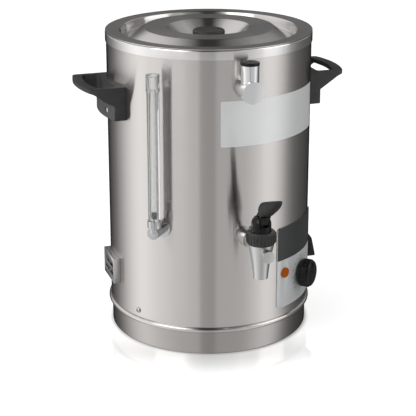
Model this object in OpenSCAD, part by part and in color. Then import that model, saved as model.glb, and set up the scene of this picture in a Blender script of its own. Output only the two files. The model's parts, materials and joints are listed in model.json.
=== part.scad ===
// Water-jacketed hot drink urn with a lever tap, a level gauge, a jacket filler and a thermostat.
// The axis of the urn is +Z, the floor is z = 0 and the tap faces -Y. Azimuths run from the tap towards +X.

/* [Body] */
// Height of the outer jacket's wall
body_h = 377; // [340:1:420]
// Sheet thickness of the outer jacket
jacket_t = 1.2; // [0.8:0.1:1.6]
// Height of the foot skirt below its bead
skirt_h = 32; // [20:1:45]
// How far the foot skirt stands in from the jacket
skirt_inset = 1.5; // [0.5:0.1:3]
// Sheet thickness of the foot skirt
skirt_t = 1.2; // [0.8:0.1:1.6]
// Width of the skirt's turned-in lip that stands on the floor
skirt_lip_w = 10; // [6:1:20]
// Height of the rolled bead between skirt and jacket
bead_h = 7; // [5:0.5:9]
// How far the bead stands proud of the jacket
bead_proud = 3.3; // [2:0.1:5]
// Height of the skirt's upstand inside the jacket
upstand_h = 15; // [12:1:25]
// Thickness of the plate that closes the base
base_plate_t = 1.2; // [0.8:0.1:3]
// Radius of a vent hole in the base plate
base_vent_r = 4; // [2:0.5:6]
// Number of vent holes in the base plate
base_vent_count = 12; // [6:1:18]

/* [Jacket and pot] */
// Height of the electrical chamber from the jacket's lower edge to the jacket floor
chamber_h = 92; // [80:1:100]
// Thickness of the jacket floor
floor_t = 1.2; // [0.8:0.1:2]
// Depth of the jacket floor's turned-down edge
floor_edge_h = 9; // [5:1:14]
// Water space under the pot
under_gap = 25; // [20:1:40]
// Inside radius of the pot
pot_r = 124; // [110:1:145]
// Distance from the pot's inside wall to the outside of the jacket
jacket_gap = 16; // [14:0.5:24]
// Sheet thickness of the pot
pot_t = 1; // [0.8:0.1:1.5]
// Inside corner radius of the pot's bottom
pot_corner_r = 8; // [4:1:14]
// Thickness of the seal lip over the jacket's top edge
seal_lip_t = 1.5; // [1:0.1:3]
// Thickness of the seal leg inside the jacket
seal_leg_t = 1.8; // [1:0.1:3]
// Height of the seal leg inside the jacket
seal_leg_h = 7; // [4:1:12]
// Sheet thickness of the rim band
rim_t = 1; // [0.8:0.1:1.5]
// Height of the rim band
rim_h = 12.6; // [9:0.1:20]
// Width of the rim band's top lip
rim_lip_w = 10.2; // [8:0.1:12]

/* [Lid] */
// Sheet thickness of the lid
lid_t = 1.1; // [0.8:0.1:1.6]
// Gap between the lid's groove and the pot's wall
lid_plug_gap = 2.7; // [1.5:0.1:5]
// Depth of the groove inside the flange
lid_groove_d = 13.5; // [8:0.5:18]
// Width of the groove's floor
lid_groove_w = 4.8; // [3:0.1:8]
// Width of the sloped ring between groove and plateau
lid_slope_w = 24.8; // [15:0.1:30]
// Height of the plateau above the flange
lid_plateau_rise = 2.3; // [0:0.1:6]
// Width of the plateau
lid_plateau_w = 31; // [20:0.5:36]
// Depth of the hand dish below the plateau
lid_dish_d = 22.3; // [16:0.1:26]
// Width of the dish's sloping side
lid_dish_slope_w = 27.7; // [22:0.1:30]
// Radius of the knob
lid_knob_r = 22; // [16:0.5:24]
// Radius of the knob's foot
lid_knob_foot_r = 13; // [10:0.5:14]
// Height of the knob
lid_knob_h = 18; // [14:0.5:22]
// Radius of the knob's screw
lid_screw_r = 2.5; // [2:0.1:3]

/* [Handles] */
// Width of a handle along the body
handle_w = 94; // [80:1:110]
// Height of a handle from foot to grip
handle_h = 45; // [38:0.5:55]
// Drop from the jacket's top edge to the top of the grip
handle_drop = 57; // [50:0.5:80]
// Thickness of the foot against the body
handle_foot_t = 14.5; // [12:0.5:20]
// Height of the foot's outer face
handle_foot_h = 20; // [16:0.5:24]
// Reach of the grip from the body, at its middle
handle_reach = 48; // [42:1:60]
// How far the grip bows out between its ends
handle_bow = 8; // [3:0.5:12]
// Width of the grip bar
grip_w = 13.5; // [11:0.5:18]
// Thickness of the grip's outer edge
grip_t = 4.5; // [3:0.5:7]
// Thickness of the grip bar between the cheeks
grip_bar_t = 6; // [4:0.5:9]
// Thickness of the side cheeks
handle_cheek_t = 7; // [5:0.5:9]
// Thickness of the handle between the body and the hand hole
handle_back_t = 5; // [4:0.5:7]
// Radius of a handle screw's shank
handle_screw_r = 2; // [1.5:0.1:2.5]
// Radius of a handle screw's head
handle_screw_head_r = 4; // [3:0.1:5]
// Distance of each handle screw from the handle's middle, in degrees round the body
handle_screw_az = 9.3; // [6:0.1:11]
// Height of the handle screws above the foot's lower edge
handle_screw_rise = 10.5; // [6:0.5:12]

/* [Tap] */
// Height of the tap's shank above the pot's floor
tap_rise = 12.9; // [12:0.1:30]
// Distance of the tap's upright axis from the jacket
tap_reach = 65; // [58:1:80]
// Radius of the shank
shank_r = 7.4; // [6.8:0.1:7.5]
// Length of the shank's blind end beyond the tap's axis
shank_nose = 28; // [24:1:36]
// Radius of the plain boss on the tap's front
nose_r = 8; // [7:0.1:9]
// Bore radius of the outlet pipe and the shank
outlet_bore_r = 5; // [3.5:0.1:5.4]
// Outside radius of the outlet pipe
outlet_pipe_r = 8; // [7.7:0.1:9]
// Length of the outlet pipe outside the jacket
outlet_pipe_out = 6; // [5:0.5:9]
// Greatest radius of the union nut
union_r = 11.5; // [11:0.5:16]
// Length of the union nut
union_w = 23; // [22:0.5:28]
// Drop from the shank's axis to the spout's end
spout_drop = 37; // [28:0.5:42]
// Outside radius of the spout
spout_r = 9.6; // [8:0.1:10.5]
// Bore radius of the spout
spout_bore_r = 5.8; // [4.5:0.1:6.2]
// Rise from the shank's axis to the funnel's top
funnel_rise = 10; // [8:0.5:14]
// Outside radius of the funnel's top
funnel_r = 17.2; // [16.6:0.1:18.5]
// Wall thickness of the funnel
funnel_wall = 2.2; // [1.6:0.1:2.6]
// Height of the threaded neck above the funnel
neck_h = 7; // [6:0.5:10]
// Outside radius of the threaded neck
neck_r = 15; // [14.5:0.1:16]
// Outside radius of the ribbed collar
collar_r = 19.5; // [18.5:0.5:23]
// Height of the ribbed collar
collar_h = 17; // [15:0.5:19]
// Number of ribs round the collar
collar_ribs = 28; // [16:1:36]
// Radius of the bonnet's dome
dome_r = 13; // [12.4:0.1:14]
// Thickness of the bonnet's clamped flange
bonnet_flange_t = 3; // [2:0.5:4]
// Radius of the peg on the bonnet's side
peg_r = 3; // [2:0.1:3.6]
// Length of that peg outside the bonnet
peg_out = 3.4; // [2:0.1:5]
// Rise from the neck's top to the lever's pin
pin_rise = 24; // [22:0.5:26]
// Radius of the lever's pin
pin_r = 2; // [1.5:0.1:2.4]
// Radius of the valve stem
stem_r = 3; // [2.5:0.1:3.4]
// Thickness of the stem's flat eye
eye_t = 4; // [3:0.1:5]
// Lift of the valve when the lever is pulled right down
valve_lift = 4; // [2.5:0.1:4.5]
// Angle that the lever is pulled down through
lever_pull = 40; // [30:1:45]
// Thickness of each cheek of the lever's fork
fork_cheek_t = 3; // [2.4:0.1:3.4]
// Distance of the fork's cam face below the pin
cam_drop = 6; // [5.4:0.1:6.6]
// Reach of the lever's tip from the pin
lever_reach = 61; // [54:1:76]
// Rise of the lever's tip above the pin
lever_rise = 45; // [38:0.5:54]
// Greatest width of the lever's blade
blade_w = 17; // [13:0.5:22]
// Wire radius of the valve spring
spring_wire_r = 0.6; // [0.4:0.05:0.7]
// Number of turns of the valve spring
spring_turns = 6; // [5:1:8]

/* [Level gauge] */
// Azimuth of the gauge
gauge_az = -45; // [-55:1:-38]
// Height of the gauge's fitting above the jacket floor
gauge_rise = 45.5; // [30:0.5:60]
// Distance of the tube's axis from the jacket
gauge_reach = 22; // [20:0.5:28]
// Radius of the fitting's stub
gauge_stub_r = 8.2; // [7.5:0.1:9]
// Length of the stub beyond the tube's axis
gauge_nose = 5.5; // [4:0.5:9]
// Radius of the flange against the jacket
gauge_flange_r = 13; // [11:0.5:15]
// Thickness of the flange
gauge_flange_t = 4; // [3:0.5:6]
// Outside radius of the clear tube
gauge_tube_r = 8; // [7.4:0.1:8.4]
// Bore radius of the clear tube
gauge_bore_r = 4; // [3.4:0.1:5]
// Wall thickness of the ferrule round the tube
ferrule_wall = 1; // [0.8:0.1:2]
// Depth of the ferrule's socket
ferrule_depth = 7; // [5:0.5:10]
// Drop from the jacket's top edge to the top of the tube
gauge_tube_drop = 44.5; // [35:0.5:70]
// Height of the cap above the tube
gauge_cap_h = 18.5; // [12:0.5:24]
// Length of the float in the tube
float_h = 10; // [6:0.5:16]

/* [Filler] */
// Drop from the jacket's top edge to the filler's axis
filler_drop = 45.8; // [42:0.1:60]
// Radius of the filler's stub
filler_stub_r = 14.5; // [13:0.5:16]
// Distance of the cup's axis from the jacket
filler_reach = 20; // [18:0.5:24]
// Length of the stub beyond the cup's axis
filler_nose = 13.5; // [12:0.5:16]
// Outside radius of the cup
cup_r = 11.8; // [11:0.1:12.8]
// Wall thickness of the cup
cup_wall = 2.2; // [1.5:0.1:2.6]
// Rise of the cup's mouth above the filler's axis
cup_rise = 33.5; // [26:0.5:36]
// Thickness of the cap's head
cap_t = 3.5; // [2.5:0.5:6]
// Length of the cap's plug inside the cup
cap_plug_h = 8; // [5:0.5:10]

/* [Controls] */
// Azimuth of the panel's middle and of the thermostat
panel_az = 45.5; // [42:0.5:52]
// Width of the panel across its flat outline
panel_w = 111; // [100:1:120]
// Height of the panel
panel_h = 116; // [100:1:124]
// Rise of the panel's lower edge above the jacket's lower edge
panel_rise = 12.5; // [5:0.5:18]
// Thickness of the panel
panel_t = 1.4; // [0.8:0.1:2]
// Corner radius of the panel
panel_corner_r = 6; // [3:0.5:12]
// Rise of the thermostat above the jacket's lower edge
control_rise = 50; // [44:0.5:62]
// Rise of the pilot lamp above the jacket's lower edge
lamp_rise = 63; // [48:0.5:72]
// Azimuth of the pilot lamp from the panel's middle
lamp_az = -17.5; // [-20:0.5:-15]
// Radius of the lamp's lens
lamp_lens_r = 7; // [6.2:0.1:9]
// Radius of the lamp's body
lamp_body_r = 5.5; // [4.5:0.1:5.9]
// Radius of the control knob's skirt
knob_r = 19.5; // [17:0.5:22]
// Depth of the control knob
knob_depth = 15; // [10:0.5:18]
// Radius of the thermostat's shaft
tstat_shaft_r = 3; // [2.5:0.1:3.5]
// Radius of the thermostat's threaded bushing
bushing_r = 5; // [4.6:0.1:6]
// Width of the thermostat's body
tstat_w = 42; // [36:1:46]
// Depth of the thermostat's body
tstat_d = 22; // [18:1:26]

/* [Heating] */
// Radius of the heating loop
element_loop_r = 86; // [70:1:98]
// Radius of the heating tube
element_tube_r = 4.2; // [3.5:0.1:5]
// Gap from the jacket floor to the heating tube
element_gap = 7; // [5:0.5:10]
// Radius of the element's gland nuts
gland_r = 9; // [8:0.5:11]
// Radius of the thermostat's sensing bulb
bulb_r = 3; // [2.5:0.1:4]
// Distance of the sensing bulb from the pot's wall, seen from above
bulb_inset = 32; // [26:1:45]
// Length of the thermostat's sensing bulb
bulb_l = 60; // [40:1:70]
// Radius of the overheat cut-out
cutout_r = 9; // [7:0.5:12]
// Distance of the terminal block's middle from the foot skirt
terminal_inset = 42.5; // [36:0.5:60]
// Length of the terminal block
terminal_l = 46; // [36:1:56]

/* [Side fittings] */
// Azimuth of the slotted vent cover
vent_az = -91; // [-96:0.5:-84]
// Height of the vent cover above the jacket's lower edge
vent_rise = 36; // [25:1:48]
// Length of the vent cover
vent_w = 54; // [44:1:64]
// Height of the vent cover
vent_h = 36; // [30:1:42]
// Distance of the vent cover's flat face from the jacket
vent_proud = 7; // [5:0.5:10]
// Wall thickness of the vent cover
vent_wall = 1.5; // [1:0.1:1.9]
// Height of each vent slot
vent_slot_h = 5; // [3:0.5:7]
// Height of the cable hood above the jacket's lower edge
hood_rise = 39; // [25:1:48]
// Width of the cable hood
hood_w = 42; // [36:1:52]
// Height of the cable hood
hood_h = 35; // [32:1:44]
// Distance of the hood's mouth from the jacket
hood_proud = 16.5; // [14:0.5:22]
// Wall thickness of the hood
hood_wall = 2.2; // [1.5:0.1:3]
// Radius of the cable hole in the grommet
grommet_bore_r = 4.5; // [3:0.1:6]
// Azimuth of the first base screw
base_screw_az = -62.3; // [-66:0.1:-55]
// Height of the base screws above the jacket's lower edge
base_screw_rise = 9.5; // [6:0.5:10]
// Radius of a base screw's shank
base_screw_r = 2; // [1.5:0.1:2.5]

/* [Clearances] */
// Gap between fixed pieces that seat on each other
fit_gap = 0.1; // [0.05:0.01:0.2]
// Radial gap of shafts that turn or slide
run_gap = 0.05; // [0.03:0.01:0.09]
// Gap between moving neighbours
move_gap = 0.3; // [0.2:0.05:0.5]

/* [Hidden] */
$fn = 72;
arc_steps = 5;
through = 400;
body_z = skirt_h + bead_h;
body_top = body_z + body_h;
body_r = pot_r + jacket_gap;
jacket_in_r = body_r - jacket_t;
skirt_r = body_r - skirt_inset;
upstand_r = jacket_in_r - fit_gap;
bead_r = bead_h / 2;
bead_c = [body_r + bead_proud - bead_r, skirt_h + bead_r];
base_screw_z = body_z + base_screw_rise;
base_screw_count = 2;
base_screw_head_r = 3.8;
base_screw_head_h = 2.4;
base_screw_l = 7;

floor_z = body_z + chamber_h;
floor_top = floor_z + floor_t;
pot_floor = floor_top + under_gap + pot_t;
seal_top = body_top + seal_lip_t;
pot_top = seal_top + pot_t;
rim_r = body_r + fit_gap * 2 + rim_t;
rim_top = pot_top + fit_gap + rim_t;
lid_top = rim_top + move_gap + lid_t;

lid_r = rim_r - 0.2;
lid_groove_r = pot_r - lid_plug_gap;
lid_groove_draft = 3.2;
lid_groove_in = lid_groove_r - lid_groove_draft - lid_groove_w;
lid_plateau_r = lid_groove_in - lid_slope_w;
lid_dish_r = lid_plateau_r - lid_plateau_w;
lid_dish_flat_r = lid_dish_r - lid_dish_slope_w;
lid_dish_z = lid_top + lid_plateau_rise - lid_dish_d;
lid_screw_head_r = 6;
lid_screw_head_h = 2.5;
lid_screw_l = 12;

handle_top = body_top - handle_drop;
handle_z = handle_top - handle_h;
handle_foot_r = body_r + handle_foot_t;
grip_end_x = body_r + handle_reach - handle_bow;
grip_r = (pow(handle_w / 2, 2) + pow(handle_bow, 2)) / (2 * handle_bow);
grip_c = body_r + handle_reach - grip_r;
grip_corner_r = 6;
hole_corner_r = 5;
hole_w = handle_w - 2 * handle_cheek_t;
handle_screw_z = handle_z + handle_screw_rise;
handle_screw_l = handle_foot_t + jacket_t + 2;

tap_z = pot_floor + tap_rise;
tap_r = body_r + tap_reach;
seal_t = 2;
pipe_end = body_r + outlet_pipe_out;
shank_start = pipe_end + seal_t;
shank_flange_r = outlet_pipe_r;
shank_flange_t = 2.5;
union_gap = 1.2;
spout_z = tap_z - spout_drop;
funnel_z = tap_z + funnel_rise;
funnel_power = 2.2;
flare_power = 1.5;
funnel_steps = 14;
seat_z = tap_z - 11;
chamber_r = neck_r - 2.4;
neck_z = funnel_z + neck_h;
collar_z = funnel_z + fit_gap;
collar_chamfer = 3;
rib_r = 0.9;
bonnet_flange_r = neck_r - 0.2;
collar_lip_z = neck_z + bonnet_flange_t + fit_gap;
peg_z = collar_z + collar_h + peg_r + 1.6;
pin_z = neck_z + pin_rise;
pad_z = pin_z - cam_drop - move_gap;
dome_c = pin_z - 5;
fork_w = eye_t + 2 * move_gap + 2 * fork_cheek_t;
slot_w = fork_w + 4 * move_gap;
slot_back = 8;
cam_k = valve_lift / (lever_pull * PI / 180);
cam_steps = 6;
fork_clear_r = norm([cam_drop + valve_lift, stem_r]) + 2 * move_gap;
blade_start_r = dome_r + 1.5;
hub_r = 6;
eye_w = 9;
stem_end = seat_z + 5;
tang_z = pad_z - valve_lift - move_gap;
cup_body_r = spout_bore_r + 1.6;
cup_h = 9;
stem_flange_r = 6.2;
stem_flange_t = 1.6;
stem_flange_z = seat_z + cup_h;
spring_r = stem_r + 2;
spring_room_r = spring_r + spring_wire_r + 2;
spring_top = pad_z - 3.7;
spring_z0 = stem_flange_z + stem_flange_t + spring_wire_r + fit_gap;
spring_z1 = spring_top - spring_wire_r - fit_gap;
spring_rings = 12;
spring_sides = 6;

gauge_z = floor_top + gauge_rise;
gauge_r = body_r + gauge_reach;
gauge_spigot_r = 5;
gauge_way_r = 3;
gauge_neck_r = 6.4;
ferrule_r = gauge_tube_r + fit_gap + ferrule_wall;
ferrule_z = gauge_z + gauge_stub_r + 1.8;
gauge_seal_t = 2;
gauge_tube_z = ferrule_z + gauge_seal_t;
gauge_tube_top = body_top - gauge_tube_drop;
gauge_cap_r = gauge_tube_r + fit_gap + 0.9;
gauge_cap_lap = 4;
gauge_vent_r = 1.6;
gauge_cap_top_t = 3;
float_r = gauge_bore_r - move_gap;
float_z = gauge_tube_z + ferrule_depth;
float_stop_r = 1.6;
spigot_l = 8;
nut_t = 4;

filler_z = body_top - filler_drop;
filler_r = body_r + filler_reach;
filler_spigot_r = 9;
filler_way_r = 7;
cup_bore_r = cup_r - cup_wall;
cup_top = filler_z + cup_rise;
cap_r = cup_r + 0.3;
cap_vent_r = 1.2;

panel_z = body_z + panel_rise;
panel_in_r = body_r + fit_gap;
panel_out_r = panel_in_r + panel_t;
control_z = body_z + control_rise;
lamp_z = body_z + lamp_rise;
lamp_a = panel_az + lamp_az;
lamp_lens_h = 2;
lamp_body_l = 22;
bushing_nut_r = 8.5;
bushing_nut_t = 2.4;
tstat_setback = 5.5;
tstat_front = jacket_in_r - tstat_setback;
bushing_l = panel_out_r + bushing_nut_t - tstat_front;
knob_z = panel_out_r + bushing_nut_t + move_gap;
knob_skirt_t = 2.4;
knob_hub_r = knob_r - 1.5;
pointer_w = 6;
pointer_h = 2;
shaft_in = 14;

element_z = floor_top + element_gap;
element_sweep = 330;
element_leg_l = 31;
sleeve_t = 0.6;
element_leg_r = element_tube_r + sleeve_t;
bulb_z = floor_z - bulb_r - fit_gap;
bulb_at = pot_r - bulb_inset;
capillary_r = 1.2;
cutout_h = 10;
cutout_at = 55;
terminal_w = 20;
terminal_h = 16;
terminal_at = skirt_r - terminal_inset;
terminal_ways = 4;

vent_z = body_z + vent_rise;
vent_slots = 2;
hood_z = body_z + hood_rise;
hood_az = 90;
hood_top_t = 6;
cable_z = hood_z + hood_h - 15;
grommet_r = grommet_bore_r + 3;
grommet_lip = 2;

steel = [0.72, 0.71, 0.70];
bright = [0.80, 0.80, 0.82];
black = [0.13, 0.13, 0.14];
rubber = [0.20, 0.20, 0.21];
brass = [0.72, 0.58, 0.30];

// Outline helpers
function unit(v) = v / norm(v);
function side(v) = [-v[1], v[0]];
function turned(v, a) = [v[0] * cos(a) - v[1] * sin(a), v[0] * sin(a) + v[1] * cos(a)];
function arc(c, r, a0, a1, n = arc_steps) = [for (i = [0:n]) c + turned([r, 0], a0 + (a1 - a0) * i / n)];
function corner_arc(a, b, c, r) =
    let (u = unit(a - b), v = unit(c - b), half = acos(u * v) / 2)
    let (o = b + unit(u + v) * r / sin(half), s = b + u * r / tan(half) - o)
    let (sweep = (180 - 2 * half) * (cross(u, v) > 0 ? -1 : 1))
    [for (i = [0:arc_steps]) o + turned(s, sweep * i / arc_steps)];
// Round the corners of a path of [x, y, radius] points
function rounded(p) = [
    for (i = [0:len(p) - 1])
        let (b = [p[i][0], p[i][1]], last = len(p) - 1)
        each (i == 0 || i == last || is_undef(p[i][2]) || p[i][2] == 0) ? [b]
            : corner_arc([p[i - 1][0], p[i - 1][1]], b, [p[i + 1][0], p[i + 1][1]], p[i][2])
];
// The path moved t to its left, with mitred corners
function moved(p, t) = [
    for (i = [0:len(p) - 1])
        let (last = len(p) - 1, d0 = unit(p[max(i, 1)] - p[max(i, 1) - 1]))
        let (d1 = unit(p[min(i + 1, last)] - p[min(i, last - 1)]))
        let (m = unit(side(d0) + side(d1)))
        p[i] + m * t / (m * side(d0))
];
function reversed(p) = [for (i = [len(p) - 1:-1:0]) p[i]];
function sheet(p, t) = concat(p, reversed(moved(p, t)));

// Frame on the body: x along the wall, y up, z outward from radius r
module outward(az, z, r) {
    rotate([0, 0, az]) translate([0, -r, z]) rotate([90, 0, 0]) children();
}
module upright(az, r, z) {
    rotate([0, 0, az]) translate([0, -r, z]) children();
}
// The room the jacket takes up, for pieces that sit on its curve
module body_space() {
    cylinder(r = body_r + fit_gap, h = 2 * through, $fn = 288);
}
module ring(r_out, r_in, h) {
    difference() {
        cylinder(r = r_out, h = h);
        translate([0, 0, -1]) cylinder(r = r_in, h = h + 2);
    }
}
module round_rect(w, h, r) {
    translate([-w / 2 + r, -h / 2]) square([w - 2 * r, h]);
    translate([-w / 2, -h / 2 + r]) square([w, h - 2 * r]);
    for (x = [-1, 1], y = [-1, 1]) translate([x * (w / 2 - r), y * (h / 2 - r)]) circle(r);
}

// Outer jacket and base
module outer_jacket() color(steel) {
    difference() {
        translate([0, 0, body_z]) ring(body_r, jacket_in_r, body_h);
        outward(0, tap_z, 0) cylinder(r = outlet_pipe_r + fit_gap, h = through);
        outward(gauge_az, gauge_z, 0) cylinder(r = gauge_spigot_r + fit_gap, h = through);
        outward(0, filler_z, 0) cylinder(r = filler_spigot_r + fit_gap, h = through);
        outward(panel_az, control_z, 0) cylinder(r = bushing_r + fit_gap, h = through);
        outward(lamp_a, lamp_z, 0) cylinder(r = lamp_body_r + fit_gap, h = through);
        outward(hood_az, cable_z, 0) cylinder(r = grommet_r + fit_gap, h = through);
        vent_slot_cuts();
        for (i = [0:base_screw_count - 1])
            outward(base_screw_az + i * 360 / base_screw_count, base_screw_z, 0)
                cylinder(r = base_screw_r + fit_gap, h = through);
        handle_screw_places() cylinder(r = handle_screw_r + fit_gap, h = through);
    }
}
skirt_path = concat(
    rounded([[skirt_r - skirt_lip_w, 0], [skirt_r, 0, skirt_t * 1.5], [skirt_r, skirt_h]]),
    arc(bead_c, bead_r, -90, 90, 10),
    [[upstand_r, body_z], [upstand_r, body_z + upstand_h]]
);
module base_skirt() color(steel * 0.95) {
    difference() {
        rotate_extrude() polygon(sheet(skirt_path, skirt_t));
        for (i = [0:base_screw_count - 1])
            outward(base_screw_az + i * 360 / base_screw_count, base_screw_z, 0)
                cylinder(r = base_screw_r + fit_gap, h = through);
    }
}
base_plate_z = skirt_t + fit_gap;
module base_plate() color(steel * 0.85) {
    vent_ring_r = skirt_r * 0.5;
    translate([0, 0, base_plate_z]) difference() {
        cylinder(r = skirt_r - skirt_t * 2, h = base_plate_t);
        for (i = [0:base_vent_count - 1])
            rotate([0, 0, i * 360 / base_vent_count]) translate([vent_ring_r, 0, -1])
                cylinder(r = base_vent_r, h = base_plate_t + 2);
    }
}
module base_screws() color(bright) {
    for (i = [0:base_screw_count - 1])
        outward(base_screw_az + i * 360 / base_screw_count, base_screw_z, body_r + fit_gap) {
            cylinder(r1 = base_screw_head_r, r2 = base_screw_head_r * 0.8, h = base_screw_head_h);
            translate([0, 0, -base_screw_l]) cylinder(r = base_screw_r, h = base_screw_l + 1);
        }
}

// Jacket floor, pot and rim
module jacket_floor() color(steel * 0.9) {
    edge_r = jacket_in_r - fit_gap;
    path = rounded([[edge_r, floor_z - floor_edge_h], [edge_r, floor_top, floor_t * 2], [0, floor_top]]);
    difference() {
        rotate_extrude() polygon(sheet(path, floor_t));
        element_leg_places() cylinder(r = element_leg_r + fit_gap, h = through, center = true);
    }
}
module inner_pot() color(steel) {
    flange_r = rim_r - 2 * rim_t - fit_gap;
    path = rounded([
        [flange_r, pot_top], [pot_r, pot_top, 2], [pot_r, pot_floor, pot_corner_r], [0, pot_floor]
    ]);
    difference() {
        rotate_extrude() polygon(sheet(path, pot_t));
        outward(0, tap_z, 0) cylinder(r = outlet_pipe_r + fit_gap, h = through);
    }
}
module pot_seal() color(rubber) {
    leg_r = jacket_in_r - fit_gap;
    rotate_extrude() polygon([
        [leg_r - seal_leg_t, body_top - seal_leg_h], [leg_r, body_top - seal_leg_h], [leg_r, body_top],
        [body_r - fit_gap, body_top], [body_r - fit_gap, seal_top], [leg_r - seal_leg_t, seal_top]
    ]);
}
module rim_band() color(steel) {
    path = rounded([[rim_r, rim_top - rim_h], [rim_r, rim_top, rim_t * 2], [rim_r - rim_lip_w, rim_top]]);
    rotate_extrude() polygon(sheet(path, rim_t));
}

// Lid
module lid() color(steel) {
    groove_z = lid_top - lid_groove_d;
    plateau_z = lid_top + lid_plateau_rise;
    path = rounded([
        [lid_r, lid_top], [lid_groove_r, lid_top, 2.2], [lid_groove_r - lid_groove_draft, groove_z, 1.6],
        [lid_groove_in, groove_z, 2], [lid_plateau_r, plateau_z, 3], [lid_dish_r, plateau_z, 3],
        [lid_dish_flat_r, lid_dish_z, 18], [0, lid_dish_z]
    ]);
    difference() {
        rotate_extrude() polygon(sheet(path, lid_t));
        translate([0, 0, lid_dish_z]) cylinder(r = lid_screw_r + fit_gap, h = 4 * lid_t, center = true);
    }
}
module lid_knob() color(black) {
    waist_r = lid_knob_foot_r - 2;
    path = rounded([
        [0, 0], [lid_knob_foot_r, 0], [waist_r, lid_knob_h * 0.25, 3], [lid_knob_r, lid_knob_h * 0.6, 3],
        [lid_knob_r, lid_knob_h, 2.5], [lid_knob_r * 0.8, lid_knob_h, 3],
        [lid_knob_r * 0.6, lid_knob_h - 1, 3], [0, lid_knob_h - 1]
    ]);
    translate([0, 0, lid_dish_z]) difference() {
        rotate_extrude() polygon(path);
        translate([0, 0, -1]) cylinder(r = lid_screw_r + fit_gap, h = lid_screw_l + 1);
    }
}
module lid_knob_screw() color(bright) {
    under = lid_dish_z - lid_t;
    translate([0, 0, under - lid_screw_head_h]) {
        cylinder(r1 = lid_screw_head_r * 0.8, r2 = lid_screw_head_r, h = lid_screw_head_h);
        cylinder(r = lid_screw_r, h = lid_screw_head_h + lid_screw_l);
    }
}

// Handles: an annular section with a bowed grip, built on the +X side
module handle_screw_places() {
    for (s = [-90, 90], a = [-1, 1])
        outward(s + a * handle_screw_az, handle_screw_z, 0) children();
}
module right_handle() color(black) {
    foot_top = handle_z + handle_foot_h;
    neck_r1 = body_r + handle_reach - grip_w * 0.6;
    edge_z = handle_top - grip_t;
    section = rounded([
        [body_r - 2, handle_z], [handle_foot_r, handle_z, 1], [handle_foot_r, foot_top, 1.5],
        [neck_r1, edge_z - 3, 6], [body_r + handle_reach, edge_z], [body_r + handle_reach + 8, edge_z],
        [body_r + handle_reach + 8, handle_top], [body_r - 2, handle_top]
    ]);
    bow_a = asin(handle_w / 2 / grip_r);
    bow = [for (i = [1:11]) concat([grip_c, 0] + turned([grip_r, 0], -bow_a + 2 * bow_a * i / 12), 0)];
    outline = rounded(concat(
        [[0, -handle_w / 2], [grip_end_x, -handle_w / 2, grip_corner_r]], bow,
        [[grip_end_x, handle_w / 2, grip_corner_r], [0, handle_w / 2]]
    ));
    hole_in_r = grip_r - grip_w;
    hole_a = asin(hole_w / 2 / hole_in_r);
    hole_bow = [
        for (i = [1:11]) concat([grip_c, 0] + turned([hole_in_r, 0], -hole_a + 2 * hole_a * i / 12), 0)
    ];
    hole_end_x = grip_c + hole_in_r * cos(hole_a);
    hole_back_x = body_r + handle_back_t;
    hole = rounded(concat(
        [[hole_back_x, 0], [hole_back_x, -hole_w / 2, hole_corner_r]],
        [[hole_end_x, -hole_w / 2, hole_corner_r]],
        hole_bow, [[hole_end_x, hole_w / 2, hole_corner_r], [hole_back_x, hole_w / 2, hole_corner_r]],
        [[hole_back_x, 1]]
    ));
    difference() {
        intersection() {
            rotate_extrude() polygon(section);
            translate([0, 0, handle_z - 1]) linear_extrude(handle_h + 2) polygon(outline);
        }
        body_space();
        translate([0, 0, foot_top]) linear_extrude(handle_h) polygon(hole);
        translate([handle_foot_r, -hole_w / 2, handle_z - 1])
            cube([handle_reach, hole_w, handle_h + 1 - grip_bar_t]);
        handle_screw_places() cylinder(r = handle_screw_r + fit_gap, h = through);
        handle_screw_places() translate([0, 0, handle_foot_r - handle_screw_head_r / 2])
            cylinder(r = handle_screw_head_r + fit_gap * 2, h = handle_reach);
    }
}
module left_handle() color(black) {
    mirror([1, 0, 0]) right_handle();
}
module handle_screws() color(bright) {
    head_z = handle_foot_r - handle_screw_head_r / 2 + fit_gap;
    handle_screw_places() translate([0, 0, head_z]) {
        cylinder(r1 = handle_screw_head_r, r2 = handle_screw_head_r * 0.75, h = handle_screw_head_r / 2);
        translate([0, 0, -handle_screw_l]) cylinder(r = handle_screw_r, h = handle_screw_l + 1);
    }
}

// Tap
module outlet_pipe() color(steel) {
    pipe_in = pot_r - 1;
    outward(0, tap_z, pipe_in) ring(outlet_pipe_r, outlet_bore_r, pipe_end - pipe_in);
}
module tap_seal() color(rubber) {
    outward(0, tap_z, pipe_end) ring(outlet_pipe_r, outlet_bore_r, seal_t);
}
module union_nut() color(bright) {
    start = body_r + union_gap;
    step = shank_start + shank_flange_t + fit_gap - start;
    end_r = union_r - 1.2;
    bulge = (pow(union_w / 2, 2) + pow(union_r - end_r, 2)) / (2 * (union_r - end_r));
    bulge_a = asin(union_w / 2 / bulge);
    bore_r = outlet_pipe_r + fit_gap;
    profile = concat(
        [[bore_r, 0]], arc([union_r - bulge, union_w / 2], bulge, -bulge_a, bulge_a, 12),
        [[shank_r + fit_gap, union_w], [shank_r + fit_gap, step], [bore_r, step]]
    );
    outward(0, tap_z, start) rotate_extrude() polygon(profile);
}
function funnel_at(z, power) =
    let (t = (z - spout_z) / (funnel_z - spout_z))
    spout_r + (funnel_r - spout_r) * pow(max(t, 0), power);
function funnel_out(z) = funnel_at(z, flare_power);
function funnel_in(z) = min(funnel_at(z, funnel_power) - funnel_wall, chamber_r);
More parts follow.
